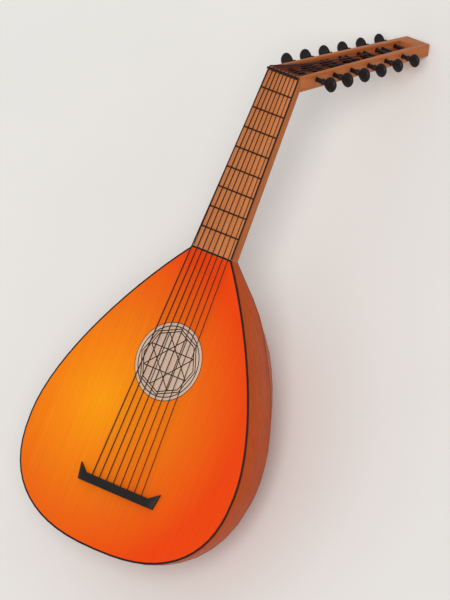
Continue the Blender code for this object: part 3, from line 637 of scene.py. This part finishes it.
class Generator:
    """A geometry node tree with named inputs that makes one kind of piece."""

    def __init__(self, name: str, inputs: Sequence[tuple[str, str]]) -> None:
        """Starts the tree.

        Args:
            name: The tree's name.
            inputs: Name and socket type of each input; Geometry and Material come by themselves.
        """
        self.tree = bpy.data.node_groups.new(name, "GeometryNodeTree")
        self.tree.is_modifier = True
        sockets = (("Geometry", "NodeSocketGeometry"), *inputs, ("Material", "NodeSocketMaterial"))
        for label, kind in sockets:
            self.tree.interface.new_socket(name=label, in_out="INPUT", socket_type=kind)
        self.tree.interface.new_socket(
            name="Geometry", in_out="OUTPUT", socket_type="NodeSocketGeometry")
        self.web = Web(self.tree)
        self.entry = self.web.add("NodeGroupInput").outputs
        self.exit = self.web.add("NodeGroupOutput")

    def end(self, shape: Socket) -> None:
        """Closes the tree: plain geometry, smooth, with its material.

        Args:
            shape: The geometry that the tree makes.
        """
        plain = self.web.add("GeometryNodeRealizeInstances", {0: shape}).outputs[0]
        shaded = self.web.add("GeometryNodeSetShadeSmooth", {"Geometry": plain}).outputs[0]
        dressed = self.web.add(
            "GeometryNodeSetMaterial", {"Geometry": shaded, "Material": self.entry["Material"]}
        ).outputs[0]
        self.tree.links.new(dressed, self.exit.inputs[0])

    def make(
        self, name: str, values: dict[str, Any], finish: Wood, source: bpy.types.Mesh | None = None
    ) -> bpy.types.Mesh:
        """Runs the tree once.

        Args:
            name: The mesh's name.
            values: The value of each named input.
            finish: The finish.
            source: The mesh that goes in, if any.

        Returns:
            The plain mesh.
        """
        holder = link_object(name, source or bpy.data.meshes.new(name))
        modifier = holder.modifiers.new(name, "NODES")
        modifier.node_group = self.tree
        keys = {
            item.name: item.identifier
            for item in self.tree.interface.items_tree
            if item.item_type == "SOCKET" and item.in_out == "INPUT"
        }
        for label, value in {**values, "Material": finish.material()}.items():
            modifier[keys[label]] = value
        return evaluated_mesh(holder)


def line_generator() -> Generator:
    """The tree that turns a route of edges into a round string or a round inlaid line.

    Returns:
        The tree.
    """
    tree = Generator("round_line", (("Radius", "NodeSocketFloat"), ("Sides", "NodeSocketInt")))
    web, entry = tree.web, tree.entry
    curve = web.add("GeometryNodeMeshToCurve", {0: entry["Geometry"]}).outputs[0]
    section = web.add("GeometryNodeCurvePrimitiveCircle", {
        "Resolution": entry["Sides"], "Radius": entry["Radius"]}).outputs[0]
    tube = web.add("GeometryNodeCurveToMesh", {
        "Curve": curve, "Profile Curve": section, "Fill Caps": True}).outputs[0]
    tree.end(tube)
    return tree


def route_mesh(name: str, points: Sequence[Vector]) -> bpy.types.Mesh:
    """A route as a mesh of edges, for the line tree.

    Args:
        name: The mesh's name.
        points: The route's points in order.

    Returns:
        The mesh.
    """
    mesh = bpy.data.meshes.new(name)
    mesh.from_pydata(points, [(i, i + 1) for i in range(len(points) - 1)], [])
    return mesh


@dataclass
class CadFinish:
    """CAD pieces whose shape is right: eased edges, smooth shading and a finish."""

    bevel: float = 0.0004
    segments: int = 2
    sharp: float = 32.0
    eased_from: float = 38.0
    flat_within: float = 0.6
    weld: float = 1e-6

    def clean_copy(self, node: str) -> bpy.types.Mesh:
        """A copy of a CAD node with its loose triangles joined into whole faces.

        Args:
            node: The CAD node.

        Returns:
            The joined mesh.
        """
        shape = bmesh.new()
        shape.from_mesh(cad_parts[node].data)
        bmesh.ops.remove_doubles(shape, verts=shape.verts, dist=self.weld)
        flat = math.radians(self.flat_within)
        bmesh.ops.dissolve_limit(shape, angle_limit=flat, verts=shape.verts, edges=shape.edges)
        shape.verts.index_update()
        corners = [tuple(vertex.co) for vertex in shape.verts]
        faces = [[vertex.index for vertex in face.verts] for face in shape.faces]
        shape.free()
        mesh = bpy.data.meshes.new(node)
        mesh.from_pydata(corners, [], faces)
        return mesh

    def dress(self, node: str, finish: Wood, bevel: float | None = None) -> bpy.types.Object:
        """Replaces a CAD node by its eased and finished copy.

        Args:
            node: The CAD node.
            finish: Its finish.
            bevel: How much its edges are eased, if not as usual.

        Returns:
            The piece.
        """
        holder = link_object(node, self.clean_copy(node))
        easing = holder.modifiers.new("eased", "BEVEL")
        easing.width = self.bevel if bevel is None else bevel
        easing.segments = self.segments
        easing.limit_method = "ANGLE"
        easing.angle_limit = math.radians(self.eased_from)
        mesh = evaluated_mesh(holder)
        smooth(mesh, self.sharp)
        return add_piece(f"{node}_wood", mesh, finish, BODY, (node,))

    def paint(self, node: str, finish: Wood) -> None:
        """Gives a CAD node that stays as it is its finish.

        Args:
            node: The CAD node.
            finish: Its finish.
        """
        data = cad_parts[node].data
        for number in range(max(len(data.materials), 1)):
            if number < len(data.materials):
                data.materials[number] = finish.material()
            else:
                data.materials.append(finish.material())
        LOG.info("%s: CAD shape kept, %s", node, finish.name)


@dataclass
class Bowl:
    """The ribs, the end clasp and what lies inside."""

    ribs: int = 7
    bars: int = 6
    line_radius: float = 0.0006
    line_sunk: float = 0.0005
    line_sides: int = 10
    joint_reach: float = 0.0006
    wall_reach: float = 0.0026
    clasp_step: float = 0.09
    work: CadFinish = field(default_factory=lambda: CadFinish(bevel=0.0003))

    def joint_points(self, first: str, second: str) -> list[Vector]:
        """Where two CAD nodes touch, in the lute's frame.

        Args:
            first: One node.
            second: The other node.

        Returns:
            A point for each corner that they share.
        """
        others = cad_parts[second].data.vertices
        near = KDTree(len(others))
        for vertex in others:
            near.insert(vertex.co, vertex.index)
        near.balance()
        to_lute = LUTE.inverted()
        points = []
        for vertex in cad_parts[first].data.vertices:
            place, _, distance = near.find(vertex.co)
            if distance < self.joint_reach:
                points.append(to_lute @ ((vertex.co + place) / 2))
        return points

    def outer_line(
        self, points: Sequence[Vector], order: Callable[[Vector], float], step: float
    ) -> list[Vector]:
        """The outer points of a joint, sunk a little, in order.

        Args:
            points: The joint's points on both faces of the bowl.
            order: What they are sorted by.
            step: Points closer than this in that order belong together.

        Returns:
            The line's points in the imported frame.
        """
        groups: list[list[Vector]] = []
        for point in sorted(points, key=order):
            if groups and order(point) - order(groups[-1][0]) < step:
                groups[-1].append(point)
            else:
                groups.append([point])
        line = []
        for group in groups:
            outer = max(group, key=lambda p: math.hypot(p.x, p.z))
            inward = Vector((-outer.x, 0.0, -outer.z)).normalized()
            line.append(LUTE @ (outer + inward * self.line_sunk))
        return line

    def inlay(self) -> None:
        """Lets a thin dark line into each joint of the ribs and along the end clasp's edge."""
        tree = line_generator()
        values = {"Radius": self.line_radius, "Sides": self.line_sides}
        for number in range(1, self.ribs):
            joint = self.joint_points(f"bowl_rib_{number}", f"bowl_rib_{number + 1}")
            line = self.outer_line(joint, lambda p: p.y, self.wall_reach)
            name = f"seam_line_{number}"
            mesh = tree.make(name, values, BLACK_LONG, route_mesh(f"{name}_route", line))
            add_piece(name, mesh, BLACK_LONG, BODY)
        joint = []
        for number in range(1, self.ribs + 1):
            joint += self.joint_points(f"bowl_rib_{number}", "end_clasp")
        line = self.outer_line(joint, lambda p: math.atan2(p.x, -p.z), self.clasp_step)
        mesh = tree.make("clasp_line", values, BLACK_LONG, route_mesh("clasp_line_route", line))
        add_piece("clasp_line", mesh, BLACK_LONG, BODY)

    def build(self) -> None:
        """Dresses the bowl."""
        for number in range(1, self.ribs + 1):
            self.work.dress(f"bowl_rib_{number}", RIBS)
        self.work.dress("end_clasp", RIBS)
        self.inlay()
        self.work.paint("neck_block", INNER)
        for number in range(1, self.bars + 1):
            self.work.paint(f"soundboard_bar_{number}", INNER)


@dataclass
class Soundboard:
    """The board with its edging, joint strip, rose and bridge."""

    work: CadFinish = field(default_factory=lambda: CadFinish(bevel=0.0002, segments=1))

    def build(self) -> None:
        """Dresses the board and what is on it."""
        # The board's varnish colour carries painted light and shade.
        self.work.paint("soundboard", SOUNDBOARD)
        # The rose carries painted shade along its cut lines.
        self.work.paint("rose", ROSE)
        self.work.dress("soundboard_edging", BLACK_LONG, bevel=0.0004)
        self.work.dress("joint_strip", BLACK)
        CadFinish(bevel=0.0009, segments=3).dress("bridge", BLACK)


@dataclass
class Neck:
    """The neck, its fingerboard and bindings, the nut and the frets."""

    width_joint: float = 0.0644
    width_nut: float = 0.0514
    binding: float = 0.0011
    fret_count: int = 8
    fret_width: float = 0.0016
    fret_height: float = 0.0011
    fret_sides: int = 20
    work: CadFinish = field(default_factory=CadFinish)

    def fret_generator(self) -> Generator:
        """The tree that sets round-topped frets across the tapering board.

        Returns:
            The tree.
        """
        floats = ("Spacing", "Half at Joint", "Taper", "Width", "Height")
        tree = Generator("fret_row", (
            ("Count", "NodeSocketInt"), ("Sides", "NodeSocketInt"),
            *((label, "NodeSocketFloat") for label in floats)))
        web, entry = tree.web, tree.entry
        step = web.add("ShaderNodeCombineXYZ", {1: entry["Spacing"]}).outputs[0]
        line = web.add("GeometryNodeMeshLine", {
            "Count": entry["Count"], "Start Location": step, "Offset": step}).outputs[0]
        rod = web.add("GeometryNodeMeshCylinder", {
            "Vertices": entry["Sides"], "Radius": 1.0, "Depth": 2.0}).outputs[0]
        laid = web.add("GeometryNodeTransform", {
            "Geometry": rod, "Rotation": (0.0, math.pi / 2, 0.0)}).outputs[0]
        place = web.add("GeometryNodeInputPosition").outputs[0]
        up = web.add("ShaderNodeSeparateXYZ", {0: place}).outputs[1]
        narrower = web.math("MULTIPLY", up, entry["Taper"])
        half = web.math("SUBTRACT", entry["Half at Joint"], narrower)
        side = web.math("DIVIDE", entry["Width"], 2.0)
        size = web.add("ShaderNodeCombineXYZ", {0: half, 1: side, 2: entry["Height"]}).outputs[0]
        row = web.add("GeometryNodeInstanceOnPoints", {
            "Points": line, "Instance": laid, "Scale": size}).outputs[0]
        tree.end(row)
        return tree

    def build(self) -> None:
        """Dresses the neck and makes the frets."""
        self.work.dress("neck", NECK, bevel=0.0005)
        self.work.dress("fingerboard", FINGERBOARD, bevel=0.0001)
        for side in ("bass", "treble"):
            self.work.dress(f"fingerboard_binding_{side}", BLACK_LONG, bevel=0.0002)
        self.work.dress("nut", BLACK, bevel=0.0002)
        values = {
            "Count": self.fret_count,
            "Sides": self.fret_sides,
            "Spacing": NECK_LENGTH / (self.fret_count + 1),
            "Half at Joint": self.width_joint / 2 - self.binding - 2 * GAP,
            "Taper": (self.width_joint - self.width_nut) / 2 / NECK_LENGTH,
            "Width": self.fret_width,
            "Height": self.fret_height,
        }
        mesh = self.fret_generator().make("frets", values, BLACK)
        mesh.transform(LUTE)
        smooth(mesh, TURNED_SHARP)
        nodes = [f"fret_{number}" for number in range(1, self.fret_count + 1)]
        add_piece("frets", mesh, BLACK, BODY, nodes)


@dataclass
class Pegbox:
    """The pegbox and its pegs, in its own frame: x across, t away from the nut, h down."""

    length: float = 0.281
    width_nut: float = 0.0514
    width_end: float = 0.0388
    height_end: float = 0.0168
    neck_depth: float = 0.0155
    heel_setback: float = 0.0165
    cheek_nut: float = 0.0034
    cheek_end: float = 0.0080
    floor: float = 0.0032
    end_block: float = 0.0240
    first_peg: float = 0.0397
    stagger: float = 0.0251
    last_to_block: float = 0.0085
    pegs_a_side: int = 6
    tip_radius: float = 0.0023
    face_radius: float = 0.0029
    neck_radius: float = 0.0042
    reach: float = 0.0232
    head_length: float = 0.0182
    head_height: float = 0.0206
    head_thickness: float = 0.0076
    head_sunk: float = 0.0006
    head_sunk_share: float = 0.96
    head_lip: float = 0.0002
    waist_at: float = 0.45
    waist_swell: float = 0.30
    collar_swell: float = 0.55
    collar: tuple[tuple[float, float], ...] = (
        (0.66, 0.0), (0.69, 0.0008), (0.75, 0.0011), (0.81, 0.0008), (0.84, 0.0),
    )
    head_steps: int = 16
    head_start: float = 0.07
    dish_depth: float = 0.16
    dish_at: float = 0.1
    dish_spread: float = 0.42
    head_end: float = 0.00005
    smallest: float = 0.84
    clearance: float = 0.00045
    blind_end: float = 0.0012
    sides: int = 36
    work: CadFinish = field(default_factory=lambda: CadFinish(bevel=0.0004))

    def to_local(self, y: float, z: float) -> tuple[float, float]:
        """A point of the lute's middle plane as t and h.

        Args:
            y: Up the neck.
            z: Out of the soundboard.

        Returns:
            Its t and h.
        """
        across = y - NECK_LENGTH
        sine, cosine = math.sin(PEGBOX_BEND), math.cos(PEGBOX_BEND)
        return across * cosine - z * sine, -across * sine - z * cosine

    def height(self, t: float) -> float:
        """How deep the pegbox is at t.

        Args:
            t: Distance from the nut.

        Returns:
            The depth from its open side to its back.
        """
        heel_t, heel_h = self.to_local(NECK_LENGTH - self.heel_setback, -self.neck_depth)
        return mix(heel_h, self.height_end, (t - heel_t) / (self.length - heel_t))

    def outer_half(self, t: float) -> float:
        """Half the width over the cheeks at a distance t from the nut.

        Args:
            t: Distance from the nut.

        Returns:
            Half the width.
        """
        return mix(self.width_nut, self.width_end, t / self.length) / 2

    def recess_half(self, t: float) -> float:
        """Half the width between the cheeks at a distance t from the nut.

        Args:
            t: Distance from the nut.

        Returns:
            Half the width.
        """
        return self.outer_half(t) - mix(self.cheek_nut, self.cheek_end, t / self.length)

    def depth(self, t: float) -> float:
        """How far below the open side the peg at a distance t has its axis.

        Args:
            t: The peg's distance from the nut.

        Returns:
            The depth.
        """
        return (self.height(t) - self.floor) / 2

    def tip(self, t: float) -> float:
        """How far in from its cheek's outer face the peg at a distance t ends.

        Args:
            t: The peg's distance from the nut.

        Returns:
            The length of the shaft.
        """
        return 2 * self.outer_half(t) - self.blind_end - self.clearance

    def peg_radius(self, t: float, inward: float) -> float:
        """A peg's radius along its shaft.

        Args:
            t: The peg's distance from the nut.
            inward: How far in from its cheek's outer face.

        Returns:
            The radius.
        """
        return mix(self.face_radius, self.tip_radius, inward / self.tip(t))

    def stations(self) -> list[tuple[str, int, float]]:
        """Each peg's name, side and distance from the nut.

        Returns:
            One row for each peg.
        """
        last = self.length - self.end_block - self.last_to_block
        pitch = (last - self.stagger - self.first_peg) / (self.pegs_a_side - 1)
        rows = []
        for number in range(self.pegs_a_side):
            t = self.first_peg + pitch * number
            rows.append((f"peg_treble_{number + 1}", 1, t))
            rows.append((f"peg_bass_{number + 1}", -1, t + self.stagger))
        return rows

    def head_form(self) -> bpy.types.Object:
        """The head of a full-size peg with its turned collar, from the cheek's face along +X.

        Returns:
            An object that the peg tree reads.
        """
        start = self.reach - self.head_length / 2
        face, neck = self.face_radius, self.neck_radius
        turned = [(-self.head_sunk, face * self.head_sunk_share), (self.head_lip, face)]
        turned.append((start * self.waist_at, mix(face, neck, self.waist_swell)))
        swell = mix(face, neck, self.collar_swell)
        turned += [(start * share, swell + proud) for share, proud in self.collar]
        sections = [(x, radius, radius) for x, radius in turned]
        for number in range(self.head_steps + 1):
            share = -math.cos(math.pi * mix(self.head_start, 1.0, number / self.head_steps))
            tall = self.head_height / 2 * math.sqrt(max(1 - share * share, 0.0))
            thick = self.head_thickness / 2 * math.sqrt(max(1 - max(share, 0.0) ** 4, 0.0))
            thick = min(thick, max(tall, 0.0))
            dish = 1 - self.dish_depth * math.exp(-((share - self.dish_at) / self.dish_spread) ** 2)
            sections.append((self.reach + self.head_length / 2 * share, thick * dish, tall))
        sections[-1] = (self.reach + self.head_length / 2, self.head_end, self.head_end)
        corners = []
        for x, along, tall in sections:
            for number in range(self.sides):
                angle = 2 * math.pi * number / self.sides
                corners.append((x, along * math.cos(angle), tall * math.sin(angle)))
        faces = [list(range(self.sides)), list(range(len(corners) - self.sides, len(corners)))]
        for row in range(0, len(corners) - self.sides, self.sides):
            for i in range(self.sides):
                j = (i + 1) % self.sides
                faces.append([row + i, row + j, row + self.sides + j, row + self.sides + i])
        mesh = bpy.data.meshes.new("peg_head_form")
        mesh.from_pydata(corners, [], faces)
        shape = bmesh.new()
        shape.from_mesh(mesh)
        bmesh.ops.recalc_face_normals(shape, faces=shape.faces)
        shape.to_mesh(mesh)
        shape.free()
        return link_object("peg_head_form", mesh)

    def peg_generator(self) -> Generator:
        """The tree that joins a tapered shaft to a head of the right size.

        Returns:
            The tree.
        """
        floats = ("Size", "Shaft", "Tip Radius", "Face Radius")
        tree = Generator("turned_peg", (
            ("Head", "NodeSocketObject"), ("Sides", "NodeSocketInt"),
            *((label, "NodeSocketFloat") for label in floats)))
        web, entry = tree.web, tree.entry
        head = web.add("GeometryNodeObjectInfo", {"Object": entry["Head"]}).outputs["Geometry"]
        scale = web.add("ShaderNodeCombineXYZ", {axis: entry["Size"] for axis in range(3)})
        sized = web.add("GeometryNodeTransform", {
            "Geometry": head, "Scale": scale.outputs[0]}).outputs[0]
        shaft = web.add("GeometryNodeMeshCone", {
            "Vertices": entry["Sides"], "Radius Top": entry["Tip Radius"],
            "Radius Bottom": entry["Face Radius"], "Depth": entry["Shaft"]}).outputs[0]
        laid = web.add("GeometryNodeTransform", {
            "Geometry": shaft, "Rotation": (0.0, -math.pi / 2, 0.0)}).outputs[0]
        joined = web.add("GeometryNodeJoinGeometry")
        for part in (laid, sized):
            tree.tree.links.new(part, joined.inputs[0])
        tree.end(joined.outputs[0])
        return tree

    def build(self) -> None:
        """Dresses the box and makes the twelve pegs."""
        for side in ("bass", "treble"):
            self.work.dress(f"pegbox_cheek_{side}", CHEEKS)
        for node, finish in (("heel", CHEEKS), ("floor", RECESS), ("end_block", CHEEKS)):
            self.work.dress(f"pegbox_{node}", finish, bevel=0.0002)
        form = self.head_form()
        tree = self.peg_generator()
        far = self.length - self.end_block - self.first_peg
        for name, side, t in self.stations():
            values = {
                "Head": form,
                "Sides": self.sides,
                "Size": mix(1.0, self.smallest, (t - self.first_peg) / far),
                "Shaft": self.tip(t),
                "Tip Radius": self.tip_radius,
                "Face Radius": self.face_radius,
            }
            mesh = tree.make(name, values, PEG_WOOD)
            turn = Matrix.Rotation(0.0 if side > 0 else math.pi, 4, "Z")
            place = Matrix.Translation((side * self.outer_half(t), t, -self.depth(t)))
            mesh.transform(PEGBOX @ place @ turn)
            smooth(mesh, TURNED_SHARP)
            add_piece(f"{name}_turned", mesh, PEG_WOOD, name, (name,))
        bpy.data.objects.remove(form, do_unlink=True)


@dataclass
class Strings:
    """Eight strings, each from the bridge over the nut and round its peg."""

    pegbox: Pegbox
    count: int = 8
    scale_length: float = 0.574
    span_nut: float = 0.0432
    span_bridge: float = 0.0840
    thin: float = 0.0011
    thick: float = 0.0016
    bridge_height: float = 0.0052
    bridge_bar: float = 0.0115
    bridge_share: float = 0.8
    nut_thickness: float = 0.0036
    nut_height: float = 0.0030
    notch_depth: float = 0.0009
    turns: int = 2
    turn_points: int = 24
    coil_gap: float = 0.00055
    lane_clearance: float = 0.0006
    nut_overrun: float = 0.0016
    bend_radius: float = 0.0012
    sides: int = 12
    sharp: float = 50.0

    def across(self, number: int, span: float) -> float:
        """Where string number, 0 at the bass edge, lies across a span.

        Args:
            number: The string.
            span: The distance from the first string to the last.

        Returns:
            Its x.
        """
        return span * (number / (self.count - 1) - 0.5)

    def radius(self, number: int) -> float:
        """Half a string's thickness.

        Args:
            number: The string, 0 at the bass edge.

        Returns:
            The radius.
        """
        return mix(self.thick, self.thin, number / (self.count - 1)) / 2

    def pitch(self, number: int) -> float:
        """How far along its peg a string moves in one turn.

        Args:
            number: The string, 0 at the bass edge.

        Returns:
            The distance.
        """
        return 2 * self.radius(number) + self.coil_gap

    def peg(self, number: int) -> tuple[int, float]:
        """The side and distance of the peg that winds a string.

        Args:
            number: The string, 0 at the bass edge.

        Returns:
            The peg's side and its distance from the nut.
        """
        half = self.count // 2
        rows = self.pegbox.stations()
        if number < half:
            return [(side, t) for _, side, t in rows if side < 0][number]
        return [(side, t) for _, side, t in rows if side > 0][self.count - 1 - number]

    def lane_share(self) -> float:
        """How much nearer the middle the strings lie on their pegs than in the nut.

        Returns:
            The share.
        """
        box = self.pegbox
        coil = self.turns * self.pitch(0) + self.radius(0)
        room = box.recess_half(box.first_peg + box.stagger) - coil - self.lane_clearance
        return room / (self.span_nut / 2)

    def bend(self, before: Vector, corner: Vector, after: Vector, count: int = 7) -> list[Vector]:
        """Points that round a corner between two straight stretches.

        Args:
            before: A point on the first stretch.
            corner: The corner.
            after: A point on the second stretch.
            count: How many points.

        Returns:
            The points.
        """
        first = corner + (before - corner).normalized() * self.bend_radius
        last = corner + (after - corner).normalized() * self.bend_radius
        shares = [i / (count - 1) for i in range(count)]
        return [first.lerp(corner, s).lerp(corner.lerp(last, s), s) for s in shares]

    def route(self, number: int) -> list[Vector]:
        """A string's route in the lute's frame.

        Args:
            number: The string, 0 at the bass edge.

        Returns:
            Its points from the bridge to the end of its coil.
        """
        box = self.pegbox
        radius = self.radius(number)
        front = -(self.scale_length - NECK_LENGTH)
        bridge_x = self.across(number, self.span_bridge)
        nut_x = self.across(number, self.span_nut)
        nut_z = self.nut_height - self.notch_depth + GAP + radius
        start = Vector((bridge_x, front - self.bridge_bar * self.bridge_share, self.bridge_height))
        at_bridge = Vector((bridge_x, front, self.bridge_height))
        at_nut = Vector((nut_x, NECK_LENGTH - self.nut_thickness, nut_z))
        corner = Vector((nut_x, NECK_LENGTH + self.nut_overrun, nut_z))
        side, t = self.peg(number)
        lane = nut_x * self.lane_share()
        outward = 1 if lane > 0 else -1
        wind = box.peg_radius(t, box.outer_half(t) - side * lane) + box.clearance + radius
        depth = box.depth(t)
        corner_t, corner_h = box.to_local(corner.y, corner.z)
        run, fall = t - corner_t, depth - corner_h
        first_angle = math.atan2(fall, run) - math.asin(wind / math.hypot(run, fall))
        to_lute = LUTE.inverted() @ PEGBOX
        coil = []
        for step in range(self.turns * self.turn_points + 1):
            turn = step / self.turn_points
            angle = first_angle + 2 * math.pi * turn
            x = lane + outward * self.pitch(number) * turn
            local = Vector((x, t + wind * math.sin(angle), -(depth - wind * math.cos(angle))))
            coil.append(to_lute @ local)
        return [start, at_bridge, at_nut] + self.bend(at_nut, corner, coil[0]) + coil

    def build(self) -> None:
        """Makes the strings."""
        tree = line_generator()
        for number in range(self.count):
            name = f"string_{number + 1}"
            source = route_mesh(f"{name}_route", [LUTE @ point for point in self.route(number)])
            values = {"Radius": self.radius(number), "Sides": self.sides}
            mesh = tree.make(name, values, GUT, source)
            smooth(mesh, self.sharp)
            add_piece(f"{name}_gut", mesh, GUT, BODY, (name,))


@dataclass
class Studio:
    """The pale floor, the soft light and the camera, whose vectors are in the lute's frame."""

    right: tuple[float, float, float] = (0.75943, 0.37007, -0.53508)
    up: tuple[float, float, float] = (-0.30879, 0.92895, 0.20422)
    toward: tuple[float, float, float] = (0.57264, 0.01014, 0.81974)
    target: tuple[float, float, float] = (0.03101, -0.05080, -0.02254)
    distance: float = 9.667
    lens: float = 450.13
    floor_size: float = 8.0
    sensor: float = 36.0
    floor_colour: Colour = (232, 230, 226)
    floor_shade: Colour = (226, 224, 220)
    floor_patches: float = 3.0
    floor_roughness: float = 0.9
    sky: float = 0.62
    sun: float = 1.45
    sun_width: float = 25.0
    sun_from: tuple[float, float, float] = (0.50, -0.15, 0.85)

    def build_floor(self) -> None:
        """Makes the floor with a faintly uneven pale finish."""
        half = self.floor_size / 2
        mesh = bpy.data.meshes.new("floor")
        corners = [(-half, -half, 0), (half, -half, 0), (half, half, 0), (-half, half, 0)]
        mesh.from_pydata(corners, [], [(0, 1, 2, 3)])
        material = bpy.data.materials.new("pale_floor")
        material.use_nodes = True
        web = Web(material.node_tree)
        shader = material.node_tree.nodes["Principled BSDF"]
        place = web.add("ShaderNodeTexCoord").outputs["Object"]
        shade = web.span(web.noise(place, self.floor_patches), (0.3, 0.7), (0.0, 0.5))
        colour = web.blend(shade, linear(self.floor_colour), linear(self.floor_shade))
        web.fill(shader, {"Base Color": colour, "Roughness": self.floor_roughness})
        mesh.materials.append(material)
        floor = link_object("floor", mesh)

    def build_light(self) -> None:
        """Sets the even sky and one soft sun."""
        world = bpy.data.worlds.new("studio")
        world.use_nodes = True
        sky = world.node_tree.nodes["Background"]
        sky.inputs["Color"].default_value = (1.0, 1.0, 1.0, 1.0)
        sky.inputs["Strength"].default_value = self.sky
        bpy.context.scene.world = world
        lamp = bpy.data.lights.new("soft_sun", "SUN")
        lamp.energy = self.sun
        lamp.angle = math.radians(self.sun_width)
        holder = link_object("soft_sun", lamp)
        holder.rotation_euler = Vector(self.sun_from).to_track_quat("Z", "Y").to_euler()

    def build_camera(self) -> None:
        """Sets the camera that sees the lute as the photograph does."""
        camera = bpy.data.cameras.new("photo_view")
        camera.sensor_width = self.sensor
        camera.sensor_fit = "AUTO"
        camera.lens = self.lens
        holder = link_object("photo_view", camera)
        axes = [Vector(axis).normalized() for axis in (self.right, self.up, self.toward)]
        turn = Matrix(axes).transposed().to_4x4()
        place = Vector(self.target) + axes[2] * self.distance
        holder.matrix_world = LUTE @ Matrix.Translation(place) @ turn
        bpy.context.scene.camera = holder

    def build(self) -> None:
        """Sets up the whole studio."""
        bpy.context.scene.view_settings.view_transform = "Standard"
        self.build_floor()
        self.build_light()
        self.build_camera()


def main() -> None:
    """Builds the lute's pieces in order."""
    logging.basicConfig(level=logging.INFO, format="%(name)s: %(message)s")
    Studio().build()
    Bowl().build()
    Soundboard().build()
    Neck().build()
    pegbox = Pegbox()
    pegbox.build()
    Strings(pegbox).build()


if __name__ == "__main__":
    main()
